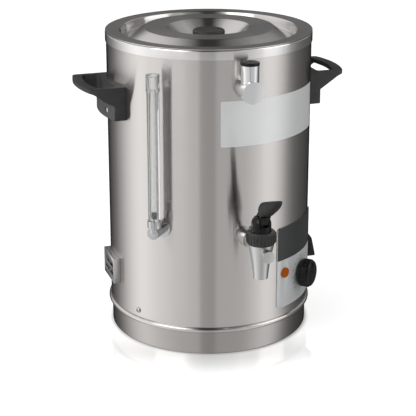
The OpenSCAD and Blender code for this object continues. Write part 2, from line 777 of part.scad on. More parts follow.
module tap_body() color(bright) {
    seat_top = seat_z + funnel_in(seat_z) - spout_bore_r;
    out_z = [for (i = [0:funnel_steps]) spout_z + (funnel_z - spout_z) * i / funnel_steps];
    in_z = [for (i = [0:funnel_steps]) seat_top + (funnel_z - seat_top) * i / funnel_steps];
    outer = concat(
        [[0, spout_z]], [for (z = out_z) [funnel_out(z), z]],
        [[neck_r, funnel_z], [neck_r, neck_z], [0, neck_z]]
    );
    inner = concat(
        [[0, spout_z - 1], [spout_bore_r, spout_z - 1], [spout_bore_r, seat_z]],
        [for (z = in_z) [funnel_in(z), z]],
        [[chamber_r, neck_z + 1], [0, neck_z + 1]]
    );
    difference() {
        union() {
            upright(0, tap_r, 0) rotate_extrude() polygon(outer);
            outward(0, tap_z, shank_start) cylinder(r = shank_r, h = tap_r - shank_start);
            outward(0, tap_z, tap_r) cylinder(r = nose_r, h = shank_nose);
            outward(0, tap_z, shank_start) cylinder(r = shank_flange_r, h = shank_flange_t);
        }
        upright(0, tap_r, 0) rotate_extrude() polygon(inner);
        outward(0, tap_z, shank_start - 1) cylinder(r = outlet_bore_r, h = tap_r - shank_start + 1);
    }
}
module bonnet() color(black) {
    dome = concat(
        [[0, neck_z], [bonnet_flange_r, neck_z], [bonnet_flange_r, neck_z + bonnet_flange_t],
         [dome_r, neck_z + bonnet_flange_t]],
        arc([0, dome_c], dome_r, 0, 90, 10)
    );
    upright(0, tap_r, 0) difference() {
        union() {
            rotate_extrude() polygon(dome);
            translate([0, 0, peg_z]) rotate([0, -90, 0]) rotate_extrude() polygon(rounded([
                [0, 0], [peg_r, 0], [peg_r, dome_r + peg_out, peg_r * 0.6], [0, dome_r + peg_out]
            ]));
        }
        translate([0, 0, neck_z - 1]) cylinder(r = spring_room_r, h = spring_top - neck_z + 1);
        cylinder(r = stem_r + run_gap, h = through);
        translate([-slot_w / 2, -2 * dome_r, pad_z]) cube([slot_w, 2 * dome_r + slot_back, 4 * dome_r]);
    }
}
module ribbed_collar() color(rubber) {
    lip_r = dome_r + fit_gap * 2;
    bore_r = neck_r + fit_gap;
    profile = [
        [bore_r, 0], [collar_r - collar_chamfer, 0], [collar_r, collar_chamfer],
        [collar_r, collar_h - collar_chamfer], [collar_r - collar_chamfer, collar_h], [lip_r, collar_h],
        [lip_r, collar_lip_z - collar_z], [bore_r, collar_lip_z - collar_z]
    ];
    upright(0, tap_r, collar_z) intersection() {
        rotate_extrude() polygon(profile);
        linear_extrude(collar_h) {
            circle(collar_r - rib_r);
            for (i = [0:collar_ribs - 1])
                rotate(i * 360 / collar_ribs) translate([collar_r - rib_r, 0]) circle(rib_r, $fn = 24);
        }
    }
}
module valve_stem() color(bright) {
    upright(0, tap_r, 0) difference() {
        union() {
            translate([0, 0, stem_end]) cylinder(r = stem_r, h = tang_z - stem_end);
            intersection() {
                translate([0, 0, tang_z - 1]) cylinder(r = stem_r, h = pad_z + 2 - tang_z);
                translate([-eye_t / 2, -eye_w, tang_z - 2]) cube([eye_t, 2 * eye_w, pin_z - tang_z]);
            }
            translate([0, 0, stem_flange_z]) cylinder(r = stem_flange_r, h = stem_flange_t);
            translate([-eye_t / 2, -eye_w / 2, pad_z + move_gap])
                cube([eye_t, eye_w, pin_z - pad_z - move_gap]);
            translate([0, 0, pin_z]) rotate([0, 90, 0]) cylinder(r = eye_w / 2, h = eye_t, center = true);
        }
        translate([0, 0, pin_z]) rotate([0, 90, 0])
            cylinder(r = pin_r + fit_gap / 2, h = 2 * eye_t, center = true);
    }
}
module seat_cup() color([0.75, 0.74, 0.70]) {
    tip_r = spout_bore_r - move_gap * sqrt(2);
    upright(0, tap_r, seat_z) difference() {
        rotate_extrude() polygon([
            [0, 0], [tip_r, 0], [cup_body_r, cup_body_r - tip_r],
            [cup_body_r, cup_h - fit_gap], [0, cup_h - fit_gap]
        ]);
        translate([0, 0, stem_end - seat_z - fit_gap]) cylinder(r = stem_r + fit_gap, h = cup_h);
    }
}
function spring_point(i, n) =
    let (a = 360 * spring_turns * i / n)
    [spring_r * cos(a), spring_r * sin(a), spring_z0 + (spring_z1 - spring_z0) * i / n];
module valve_spring() color(bright) {
    n = spring_turns * spring_rings;
    rise = (spring_z1 - spring_z0) / (2 * PI * spring_r * spring_turns);
    points = [
        for (i = [0:n], j = [0:spring_sides - 1])
            let (a = 360 * spring_turns * i / n, b = 360 * j / spring_sides)
            let (out = [cos(a), sin(a), 0], along = unit([-sin(a), cos(a), rise]))
            spring_point(i, n) + spring_wire_r * (cos(b) * out + sin(b) * cross(along, out))
    ];
    walls = [
        for (i = [0:n - 1], j = [0:spring_sides - 1])
            let (k = (j + 1) % spring_sides, p = i * spring_sides, q = p + spring_sides)
            each [[p + j, q + j, q + k], [p + j, q + k, p + k]]
    ];
    last = n * spring_sides;
    ends = [for (j = [1:spring_sides - 2]) each [[0, j, j + 1], [last, last + j + 1, last + j]]];
    upright(0, tap_r, 0) polyhedron(points, concat(walls, ends));
}
module lever_pin() color(bright) {
    upright(0, tap_r, pin_z) rotate([0, 90, 0]) cylinder(r = pin_r, h = fork_w, center = true);
}
// Side outline of the lever, as distance out from the pin and height over it
function cam_point(a) =
    let (h = cam_drop + cam_k * a * PI / 180)
    [h * sin(a) + cam_k * cos(a), -h * cos(a) + cam_k * sin(a)];
function blade_top(t) = [lever_reach * t, lever_rise * (0.545 + 0.455 * t)];
function blade_under(t) = [lever_reach * t, lever_rise * (0.93 * pow(t, 1.25) + 0.02)];
tip_shape = [[0.97, 0.905], [0.995, 0.94], [1, 0.965], [0.99, 0.985]];
back_shape = [[0.245, 0.645], [0.16, 0.575], [0.085, 0.465], [0.03, 0.35], [-0.05, 0.22]];
lever_outline = concat(
    [for (i = [0:cam_steps]) cam_point(lever_pull * i / cam_steps)],
    [for (t = [0.24:0.095:0.95]) blade_under(t)],
    [for (p = tip_shape) [lever_reach * p[0], lever_rise * p[1]]],
    [for (t = [0.93:-0.105:0.3]) blade_top(t)],
    [for (p = back_shape) [lever_reach * p[0], lever_rise * p[1]]],
    arc([0, 0], hub_r, 150, 240, 6),
    [[-hub_r * 0.5, -cam_drop]]
);
module blade_plan() {
    swell = lever_reach * 0.68;
    back_w = fork_w / 2 + 1;
    full_w = blade_w / 2;
    half = [
        for (i = [0:14])
            let (y = lever_reach * i / 14, e = max(0, (y - swell) / (lever_reach + 0.01 - swell)))
            [y < swell ? back_w + (full_w - back_w) * sin(90 * y / swell) : full_w * sqrt(1 - e * e), -y]
    ];
    polygon(concat(half, [for (p = reversed(half)) [-p[0], p[1]]]));
}
module lever_slice(w) {
    rotate([90, 0, -90]) linear_extrude(w, center = true) polygon(lever_outline);
}
module tap_lever() color(black) {
    upright(0, tap_r, pin_z) difference() {
        union() {
            lever_slice(fork_w);
            difference() {
                intersection() {
                    lever_slice(blade_w);
                    linear_extrude(lever_rise * 2) blade_plan();
                }
                rotate([0, 90, 0]) cylinder(r = blade_start_r, h = 2 * blade_w, center = true);
            }
        }
        rotate([0, 90, 0]) cylinder(r = fork_clear_r, h = eye_t + 2 * move_gap, center = true);
        rotate([0, 90, 0]) cylinder(r = pin_r + run_gap, h = 2 * blade_w, center = true);
    }
}

// Level gauge
module gauge_flange() color(bright) {
    difference() {
        outward(gauge_az, gauge_z, body_r - 2)
            ring(gauge_flange_r, gauge_spigot_r + fit_gap, gauge_flange_t + 2);
        body_space();
    }
}
module gauge_elbow() color(bright) {
    stub_z = body_r + gauge_flange_t + fit_gap;
    way_l = gauge_reach + jacket_t + spigot_l;
    difference() {
        union() {
            outward(gauge_az, gauge_z, stub_z) cylinder(r = gauge_stub_r, h = gauge_r + gauge_nose - stub_z);
            outward(gauge_az, gauge_z, jacket_in_r - spigot_l)
                cylinder(r = gauge_spigot_r, h = stub_z - jacket_in_r + spigot_l + 1);
            upright(gauge_az, gauge_r, gauge_z) cylinder(r = gauge_neck_r, h = ferrule_z - gauge_z);
            upright(gauge_az, gauge_r, ferrule_z - 2.5) cylinder(r = ferrule_r, h = ferrule_depth + 2.5);
        }
        upright(gauge_az, gauge_r, gauge_z) cylinder(r = gauge_way_r, h = through);
        upright(gauge_az, gauge_r, ferrule_z) cylinder(r = gauge_tube_r + fit_gap, h = through);
        outward(gauge_az, gauge_z, gauge_r - way_l - 1) cylinder(r = gauge_way_r, h = way_l + 1);
    }
}
module inner_nut(r_out, r_in) {
    translate([0, 0, -nut_t - 0.8]) difference() {
        cylinder(r = r_out, h = nut_t, $fn = 6);
        translate([0, 0, -1]) cylinder(r = r_in, h = nut_t + 2);
    }
}
module gauge_nut() color(brass) {
    outward(gauge_az, gauge_z, jacket_in_r) inner_nut(gauge_spigot_r * 1.9, gauge_spigot_r + fit_gap);
}
module gauge_seal() color(rubber) {
    upright(gauge_az, gauge_r, ferrule_z) ring(gauge_tube_r, float_stop_r, gauge_seal_t);
}
module gauge_tube() color([0.85, 0.90, 0.92, 0.4]) {
    upright(gauge_az, gauge_r, gauge_tube_z) ring(gauge_tube_r, gauge_bore_r, gauge_tube_top - gauge_tube_z);
}
module gauge_float() color([0.06, 0.16, 0.12]) {
    upright(gauge_az, gauge_r, float_z) rotate_extrude() polygon(concat(
        arc([0, float_r], float_r, -90, 0, 6), [[float_r, float_h], [0, float_h]]
    ));
}
module gauge_cap() color([0.85, 0.90, 0.92, 0.4]) {
    cap_z = gauge_tube_top - gauge_cap_lap;
    upright(gauge_az, gauge_r, cap_z) difference() {
        cylinder(r = gauge_cap_r, h = gauge_cap_lap + gauge_cap_h);
        translate([0, 0, -1]) cylinder(r = gauge_tube_r + fit_gap, h = gauge_cap_lap + fit_gap + 1);
        cylinder(r = gauge_bore_r, h = gauge_cap_lap + gauge_cap_h - gauge_cap_top_t);
        cylinder(r = gauge_vent_r, h = through);
    }
}

// Jacket filler
module filler_body() color(bright) {
    way_start = jacket_in_r - spigot_l;
    difference() {
        union() {
            difference() {
                outward(0, filler_z, body_r - 2)
                    cylinder(r = filler_stub_r, h = filler_reach + filler_nose + 2);
                body_space();
            }
            outward(0, filler_z, way_start) cylinder(r = filler_spigot_r, h = filler_r - way_start);
            upright(0, filler_r, filler_z) cylinder(r = cup_r, h = cup_rise);
        }
        upright(0, filler_r, filler_z) cylinder(r = cup_bore_r, h = through);
        outward(0, filler_z, way_start - 1) cylinder(r = filler_way_r, h = filler_r - way_start + 1);
    }
}
module filler_nut() color(brass) {
    outward(0, filler_z, jacket_in_r) inner_nut(filler_spigot_r * 1.5, filler_spigot_r + fit_gap);
}
module filler_cap() color(black) {
    plug_r = cup_bore_r - move_gap;
    path = rounded([
        [0, -cap_plug_h], [plug_r, -cap_plug_h, 1], [plug_r, move_gap], [cap_r, move_gap],
        [cap_r, move_gap + cap_t, 0.8], [0, move_gap + cap_t]
    ]);
    upright(0, filler_r, cup_top) difference() {
        rotate_extrude() polygon(path);
        translate([0, 0, -through / 2]) cylinder(r = cap_vent_r, h = through);
    }
}

// Control panel, lamp and thermostat
module control_panel() color([0.80, 0.81, 0.82]) {
    difference() {
        intersection() {
            translate([0, 0, panel_z - 1]) ring(panel_out_r, panel_in_r, panel_h + 2);
            outward(panel_az, panel_z + panel_h / 2, 0) linear_extrude(through)
                round_rect(panel_w, panel_h, panel_corner_r);
        }
        outward(panel_az, control_z, 0) cylinder(r = bushing_r + fit_gap, h = through);
        outward(lamp_a, lamp_z, 0) cylinder(r = lamp_body_r + fit_gap, h = through);
    }
}
module lamp_lens() color([0.95, 0.55, 0.10]) {
    crown = 1.4;
    outward(lamp_a, lamp_z, panel_out_r + fit_gap) rotate_extrude() polygon(concat(
        [[0, 0], [lamp_lens_r, 0]],
        rounded([
            [lamp_lens_r, lamp_lens_h], [lamp_lens_r * 0.7, lamp_lens_h + crown, 4], [0, lamp_lens_h + crown]
        ])
    ));
}
module lamp_body() color(rubber) {
    outward(lamp_a, lamp_z, panel_out_r - lamp_body_l) cylinder(r = lamp_body_r, h = lamp_body_l);
}
module thermostat() color([0.82, 0.80, 0.74]) {
    outward(panel_az, control_z, 0) difference() {
        union() {
            translate([0, 0, tstat_front - tstat_d]) linear_extrude(tstat_d)
                round_rect(tstat_w, tstat_w * 0.85, 3);
            translate([0, 0, tstat_front - 1]) cylinder(r = bushing_r, h = bushing_l + 1);
        }
        translate([0, 0, tstat_front - shaft_in]) cylinder(r = tstat_shaft_r + run_gap, h = through);
    }
}
module thermostat_nut() color(brass) {
    outward(panel_az, control_z, panel_out_r + fit_gap) difference() {
        cylinder(r = bushing_nut_r, h = bushing_nut_t - fit_gap, $fn = 6);
        translate([0, 0, -1]) cylinder(r = bushing_r + fit_gap, h = bushing_nut_t + 2);
    }
}
module thermostat_shaft() color(bright) {
    start = tstat_front - shaft_in + move_gap;
    outward(panel_az, control_z, start) cylinder(r = tstat_shaft_r, h = knob_z + knob_depth * 0.7 - start);
}
module control_knob() color(black) {
    outward(panel_az, control_z, knob_z) difference() {
        union() {
            rotate_extrude() polygon(rounded([
                [0, 0], [knob_r, 0], [knob_r, knob_skirt_t, 0.8], [knob_hub_r, knob_skirt_t + 1.2, 1],
                [knob_hub_r - 1.5, knob_depth, 1.5], [0, knob_depth]
            ]));
            intersection() {
                translate([-pointer_w / 2, -knob_hub_r * 0.35, knob_depth - 1])
                    cube([pointer_w, knob_hub_r * 1.35, pointer_h + 1]);
                cylinder(r = knob_hub_r - 0.8, h = 2 * knob_depth);
            }
        }
        translate([0, 0, -1]) cylinder(r = tstat_shaft_r + fit_gap, h = knob_depth * 0.7 + 1 + fit_gap);
    }
}
module thermostat_bulb() color(brass) {
    rise_r = tstat_front - tstat_d - 6;
    upright(panel_az, bulb_at, bulb_z) rotate([0, 90, 0]) cylinder(r = bulb_r, h = bulb_l, center = true);
    outward(panel_az, control_z, rise_r)
        cylinder(r = capillary_r, h = tstat_front - tstat_d - rise_r - fit_gap);
    upright(panel_az, rise_r, control_z) {
        sphere(r = capillary_r);
        cylinder(r = capillary_r, h = bulb_z - control_z);
    }
    upright(panel_az, rise_r, bulb_z) sphere(r = capillary_r);
    outward(panel_az, bulb_z, bulb_at) cylinder(r = capillary_r, h = rise_r - bulb_at);
}

// Heating
module element_leg_places() {
    for (s = [-1, 1])
        rotate([0, 0, s * (180 - element_sweep / 2)]) translate([0, -element_loop_r, 0]) children();
}
module heating_element() color(steel * 0.7) {
    open_w = 2 * element_loop_r * tan(180 - element_sweep / 2);
    translate([0, 0, element_z + element_tube_r]) difference() {
        rotate_extrude() translate([element_loop_r, 0]) circle(element_tube_r, $fn = 32);
        linear_extrude(4 * element_tube_r, center = true)
            polygon([[0, 0], [-open_w, -2 * element_loop_r], [open_w, -2 * element_loop_r]]);
    }
    element_leg_places() translate([0, 0, element_z + 2 * element_tube_r + sleeve_t - element_leg_l])
        cylinder(r = element_leg_r, h = element_leg_l);
}
module element_glands() color(brass) {
    element_leg_places() {
        translate([0, 0, floor_top]) ring(gland_r, element_leg_r + fit_gap, element_gap - 2);
        translate([0, 0, floor_z - 6]) difference() {
            cylinder(r = gland_r, h = 6, $fn = 6);
            translate([0, 0, -1]) cylinder(r = element_leg_r + fit_gap, h = 8);
        }
    }
}
module overheat_cutout() color(rubber) {
    upright(180, cutout_at, floor_z - cutout_h) {
        cylinder(r = cutout_r, h = cutout_h);
        for (s = [-1, 1]) translate([s * cutout_r * 0.5 - 0.4, -3, -8]) cube([0.8, 6, 9]);
    }
}
module terminal_block() color([0.85, 0.84, 0.80]) {
    pitch = terminal_l / terminal_ways;
    block_z = base_plate_z + base_plate_t;
    upright(hood_az, terminal_at, block_z) difference() {
        translate([-terminal_l / 2, -terminal_w / 2, 0]) cube([terminal_l, terminal_w, terminal_h]);
        for (i = [0:terminal_ways - 1]) translate([(i + 0.5) * pitch - terminal_l / 2, 0, 0]) {
            translate([0, 0, terminal_h * 0.4]) cylinder(r = pitch * 0.3, h = terminal_h);
            translate([0, 0, terminal_h * 0.4]) rotate([90, 0, 0])
                cylinder(r = pitch * 0.22, h = 2 * terminal_w, center = true);
        }
    }
}

// Vent cover, cable hood and grommet
module vent_slot_cuts() {
    pitch = vent_h / (vent_slots + 1);
    for (i = [1:vent_slots])
        outward(vent_az, vent_z + i * pitch, 0) linear_extrude(through)
            round_rect(vent_w * 0.8, vent_slot_h, vent_slot_h / 2 - 0.1);
}
module vent_cover() color(steel) {
    face = body_r + vent_proud;
    difference() {
        outward(vent_az, vent_z + vent_h / 2, 0)
            translate([-vent_w / 2, -vent_h / 2, 0]) cube([vent_w, vent_h, face]);
        outward(vent_az, vent_z + vent_h / 2, 0)
            translate([-vent_w / 2 + vent_wall, -vent_h / 2 + vent_wall, 0])
                cube([vent_w - 2 * vent_wall, vent_h - 2 * vent_wall, face - vent_wall]);
        body_space();
        vent_slot_cuts();
    }
}
function hood_section(wall) = rounded([
    [-20, wall == 0 ? 0 : -10], [hood_proud - wall, wall == 0 ? 0 : -10], [hood_proud - wall, 3, 2],
    [hood_proud * 0.68 - wall, hood_h * 0.78, 6], [hood_top_t - wall, hood_h - wall, 4], [-20, hood_h - wall]
]);
module hood_block(w, wall) {
    upright(hood_az, body_r, hood_z) rotate([90, 0, -90]) linear_extrude(w, center = true)
        polygon(hood_section(wall));
}
module cable_hood() color(black) {
    difference() {
        hood_block(hood_w, 0);
        hood_block(hood_w - 2 * hood_wall, hood_wall);
        body_space();
    }
}
module cable_grommet() color(rubber) {
    inside = jacket_in_r - 1 - grommet_lip;
    outward(hood_az, cable_z, 0) difference() {
        union() {
            translate([0, 0, inside]) cylinder(r = grommet_r, h = body_r + grommet_lip - inside);
            translate([0, 0, body_r + fit_gap]) cylinder(r = grommet_r + 1.5, h = grommet_lip);
        }
        translate([0, 0, inside - 1]) cylinder(r = grommet_bore_r, h = through);
    }
}

outer_jacket();
base_skirt();
base_plate();
base_screws();
jacket_floor();
inner_pot();
pot_seal();
rim_band();
lid();
lid_knob();
lid_knob_screw();
left_handle();
right_handle();
handle_screws();
outlet_pipe();
tap_seal();
union_nut();
tap_body();
bonnet();
ribbed_collar();
valve_stem();
seat_cup();
valve_spring();
lever_pin();
tap_lever();
gauge_flange();
gauge_elbow();
gauge_nut();
gauge_seal();
gauge_tube();
gauge_float();
gauge_cap();
filler_body();
filler_nut();
filler_cap();
control_panel();
lamp_lens();
lamp_body();
thermostat();
thermostat_nut();
thermostat_shaft();
control_knob();
thermostat_bulb();
heating_element();
element_glands();
overheat_cutout();
terminal_block();
vent_cover();
cable_hood();
cable_grommet();
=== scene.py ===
import bpy
import bmesh
import json
import math
import numpy as np
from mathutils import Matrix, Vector


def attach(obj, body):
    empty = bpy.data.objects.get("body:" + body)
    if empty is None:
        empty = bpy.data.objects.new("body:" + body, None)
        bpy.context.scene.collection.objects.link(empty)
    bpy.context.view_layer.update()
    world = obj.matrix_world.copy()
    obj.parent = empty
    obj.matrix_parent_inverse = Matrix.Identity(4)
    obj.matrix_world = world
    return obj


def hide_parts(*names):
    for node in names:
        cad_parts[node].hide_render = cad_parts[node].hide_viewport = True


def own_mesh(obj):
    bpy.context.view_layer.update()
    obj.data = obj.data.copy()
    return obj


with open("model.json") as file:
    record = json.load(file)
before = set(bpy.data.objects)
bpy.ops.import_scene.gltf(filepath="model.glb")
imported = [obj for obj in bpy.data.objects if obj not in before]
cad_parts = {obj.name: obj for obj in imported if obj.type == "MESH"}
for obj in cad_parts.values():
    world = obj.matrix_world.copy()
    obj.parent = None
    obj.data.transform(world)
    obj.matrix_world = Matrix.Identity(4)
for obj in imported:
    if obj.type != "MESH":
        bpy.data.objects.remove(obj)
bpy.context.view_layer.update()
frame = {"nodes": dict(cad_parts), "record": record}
scene = bpy.context.scene
nodes = frame["nodes"]
bodyOf = {n: b for b, ns in frame["record"]["behaviour"]["bodies"].items() for n in ns}
slotOf = {s["node"]: s["material_slot"] for s in frame["record"]["subparts"]}

# camera, set by matching rims, silhouettes and fittings
cameraSetup = {"azimuth": -19.007, "distance": 1.7842, "height": 0.7773, "tiltDown": 17.607, "turn": 0.032,
               "focalPixels": 1329.3, "imagePixels": 416, "sensorMm": 36.0, "shiftX": 0.0, "shiftY": -0.08}


def makeCamera(c):
    data = bpy.data.cameras.new("photoCamera")
    data.sensor_width = c["sensorMm"]
    data.lens = c["focalPixels"] / c["imagePixels"] * c["sensorMm"]
    data.shift_x, data.shift_y = c["shiftX"], c["shiftY"]
    data.clip_start, data.clip_end = 0.05, 50.0
    cam = bpy.data.objects.new("photoCamera", data)
    a = math.radians(c["azimuth"])
    cam.location = (c["distance"] * math.sin(a), -c["distance"] * math.cos(a), c["height"])
    cam.rotation_euler = (math.radians(90 - c["tiltDown"]), 0, a + math.radians(c["turn"]))
    scene.collection.objects.link(cam)
    scene.camera = cam


makeCamera(cameraSetup)
print("camera placed")


class Value:  # one output socket, so that shader maths reads as maths
    def __init__(self, tree, socket):
        self.tree, self.socket = tree, socket

    def maths(self, kind, *terms):
        return self.tree.add("ShaderNodeMath", {"operation": kind}, dict(enumerate(terms)))

    def __add__(self, other): return self.maths("ADD", self, other)
    def __radd__(self, other): return self.maths("ADD", other, self)
    def __sub__(self, other): return self.maths("SUBTRACT", self, other)
    def __rsub__(self, other): return self.maths("SUBTRACT", other, self)
    def __mul__(self, other): return self.maths("MULTIPLY", self, other)
    def __truediv__(self, other): return self.maths("DIVIDE", self, other)
    def __pow__(self, other): return self.maths("POWER", self, other)
    def clipped(self): return self.tree.add("ShaderNodeClamp", {}, {"Value": self})
    def above(self, edge): return self.maths("GREATER_THAN", self, edge)
    def between(self, low, high):  # 0 below low, 1 above high, smooth in the middle
        return self.tree.add("ShaderNodeMapRange", {"interpolation_type": "SMOOTHSTEP"},
                             {"Value": self, "From Min": low, "From Max": high})


class Nodes:  # a node tree with one way of making nodes
    def add(self, kind, settings=None, inputs=None, out=0):
        node = self.tree.nodes.new(kind)
        for key, value in (settings or {}).items():
            if key == "stops":
                ramp = node.color_ramp
                while len(ramp.elements) < len(value):
                    ramp.elements.new(0.5)
                for element, (place, colour) in zip(ramp.elements, value):
                    element.position = place
                    element.color = (*colour, 1.0) if len(colour) == 3 else colour
            else:
                setattr(node, key, value)
        for key, value in (inputs or {}).items():
            socket = node.inputs[key]
            for one in value if isinstance(value, list) else [value]:
                if isinstance(one, Value):
                    self.tree.links.new(one.socket, socket)
                else:
                    socket.default_value = one
        return Value(self, node.outputs[out]) if len(node.outputs) else node

    def parts(self, vector):
        split = self.add("ShaderNodeSeparateXYZ", {}, {0: vector}).socket.node
        return [Value(self, s) for s in split.outputs]

    def vector(self, x, y, z): return self.add("ShaderNodeCombineXYZ", {}, {0: x, 1: y, 2: z})


class Finish(Nodes):
    def __init__(self, owner):
        owner.use_nodes = True
        self.tree = owner.node_tree
        self.tree.nodes.clear()

    def place(self): return self.add("ShaderNodeTexCoord", out="Object")
    def stretched(self, vector, scale): return self.add("ShaderNodeMapping", {}, {"Vector": vector, "Scale": scale})
    def noise(self, vector, scale, detail=2.0, rough=0.5):
        return self.add("ShaderNodeTexNoise", {},
                        {"Vector": vector, "Scale": scale, "Detail": detail, "Roughness": rough})
    def colours(self, factor, first, second):
        return self.add("ShaderNodeMix", {"data_type": "RGBA"}, {0: factor, 6: first, 7: second}, out=2)
    def bump(self, height, depth, strength=1.0):
        return self.add("ShaderNodeBump", {}, {"Strength": strength, "Distance": depth, "Height": height})

    def surface(self, **sockets):
        shader = self.add("ShaderNodeBsdfPrincipled", {}, {k.replace("_", " "): v for k, v in sockets.items()})
        self.add("ShaderNodeOutputMaterial", {}, {"Surface": shader})


class Shape(Nodes):  # geometry nodes with named inputs
    def __init__(self, name, sizes):
        self.tree = bpy.data.node_groups.new(name, "GeometryNodeTree")
        face = self.tree.interface
        face.new_socket("Geometry", in_out="INPUT", socket_type="NodeSocketGeometry")
        face.new_socket("Geometry", in_out="OUTPUT", socket_type="NodeSocketGeometry")
        for key, value in sizes.items():
            kind = "NodeSocketInt" if isinstance(value, int) else "NodeSocketFloat"
            face.new_socket(key, in_out="INPUT", socket_type=kind)
        self.sizes = sizes
        given = self.add("NodeGroupInput").socket.node.outputs
        self.given = {key: Value(self, given[key]) for key in ["Geometry", *sizes]}

    def close(self, geometry, finish):
        solid = self.add("GeometryNodeRealizeInstances", {}, {"Geometry": geometry})
        painted = self.add("GeometryNodeSetMaterial", {}, {"Geometry": solid, "Material": finishes[finish]})
        self.add("NodeGroupOutput", {}, {"Geometry": painted})

    def moved(self, geometry, place):
        return self.add("GeometryNodeSetPosition", {}, {"Geometry": geometry, "Position": place})
    def copies(self, points, item, turn, scale=(1, 1, 1)):
        return self.add("GeometryNodeInstanceOnPoints", {},
                        {"Points": points, "Instance": item, "Rotation": turn, "Scale": scale})

    def make(self, obj):  # run once, then keep the plain mesh
        run = obj.modifiers.new(self.tree.name, "NODES")
        run.node_group = self.tree
        for item in self.tree.interface.items_tree:
            if item.in_out == "INPUT" and item.name in self.sizes:
                run[item.identifier] = self.sizes[item.name]
        return settled(obj)


def rgb(*c): return (*c, 1.0)
def scaled(tint, by): return rgb(*[c * by for c in tint])


def newFinish(name):
    material = bpy.data.materials.new(name)
    return material, Finish(material)


# steel: grain runs up the sheet, round the axis, or in rings on a spun disc
steelLooks = {
    "bodySteel": {"tint": (0.63, 0.605, 0.585), "rough": 0.21, "grain": "round", "streak": 0.05, "smear": 0.03,
                  "drawn": 1.0, "edge": 0.45},
    "skirtSteel": {"tint": (0.465, 0.443, 0.425), "rough": 0.23, "grain": "round", "streak": 0.07, "smear": 0.04,
                   "drawn": 0.9, "edge": 0.45},
    # brighter copy of the skirt steel on the bead: painted highlight
    "beadHighlightSteel": {"tint": (0.64, 0.62, 0.60), "rough": 0.22, "grain": "round", "streak": 0.05, "smear": 0.03,
                  "drawn": 0.9, "edge": 0.6},
    "rimSteel": {"tint": (0.78, 0.765, 0.75), "rough": 0.18, "grain": "round", "streak": 0.05, "smear": 0.03,
                 "drawn": 1.0, "edge": 0.7},
    "lidSteel": {"tint": (0.62, 0.60, 0.585), "rough": 0.19, "grain": "ring", "streak": 0.06, "smear": 0.04,
                 "drawn": 1.0},
    "innerSteel": {"tint": (0.60, 0.59, 0.58), "rough": 0.26, "grain": "round", "streak": 0.04, "smear": 0.06},
    "ventSteel": {"tint": (0.66, 0.65, 0.64), "rough": 0.26, "grain": "up", "streak": 0.05, "smear": 0.05},
    "elementSteel": {"tint": (0.36, 0.33, 0.30), "rough": 0.38, "grain": "up", "streak": 0.08, "smear": 0.12},
}


def steelFinish(name, look):
    material, f = newFinish(name)
    here = f.place()
    x, y, z = f.parts(here)
    radius = (x * x + y * y) ** 0.5
    turn = x.maths("ARCTAN2", y, x)
    if look["grain"] == "up":
        lines = f.stretched(here, (1500, 1500, 9))
    elif look["grain"] == "round":
        lines = f.vector(radius * 2200, z * 2200, turn * 1.6)
    else:
        lines = f.vector(radius * 2600, z * 900, turn * 1.2)
    streaks = f.noise(lines, 1.0, 3.0, 0.6)
    smears = f.noise(here, 14.0, 3.0, 0.55)
    tint = look["tint"]
    shade = f.colours(streaks, scaled(tint, 1 - look["streak"]), scaled(tint, 1 + look["streak"]))
    f.surface(Base_Color=shade, Metallic=1.0, IOR=2.2, Anisotropic=look.get("drawn", 0.0), Anisotropic_Rotation=0.25,
              Specular_Tint=rgb(*(look.get("edge", 1.0),) * 3),
              Roughness=(look["rough"] - 0.04 + streaks * 0.08 + (smears - 0.5) * look["smear"]).clipped(),
              Normal=f.bump(streaks, 0.00002, 0.5))
    return material


# plated and turned fittings: tint, then roughness
chromeLooks = {
    "chrome": ((0.80, 0.80, 0.815), 0.05), "tapChrome": ((0.61, 0.61, 0.605), 0.30),
    "unionChrome": ((0.70, 0.70, 0.70), 0.12), "gaugeChrome": ((0.58, 0.58, 0.58), 0.13),
    "discSatin": ((0.47, 0.47, 0.47), 0.34), "boltSteel": ((0.50, 0.49, 0.48), 0.10),
    "screwSteel": ((0.78, 0.775, 0.76), 0.30),
}


def chromeFinish(name, tint, rough):
    material, f = newFinish(name)
    here = f.place()
    spots = f.noise(here, 900.0, 2.0, 0.5).between(0.62, 0.74)  # dried water spots
    haze = f.noise(here, 60.0, 3.0, 0.5)
    f.surface(Base_Color=f.colours(haze, scaled(tint, 0.95), rgb(*tint)), Metallic=1.0,
              Roughness=(rough + haze * 0.05 + spots * 0.08).clipped(), Normal=f.bump(haze, 0.00006, 0.25))
    return material


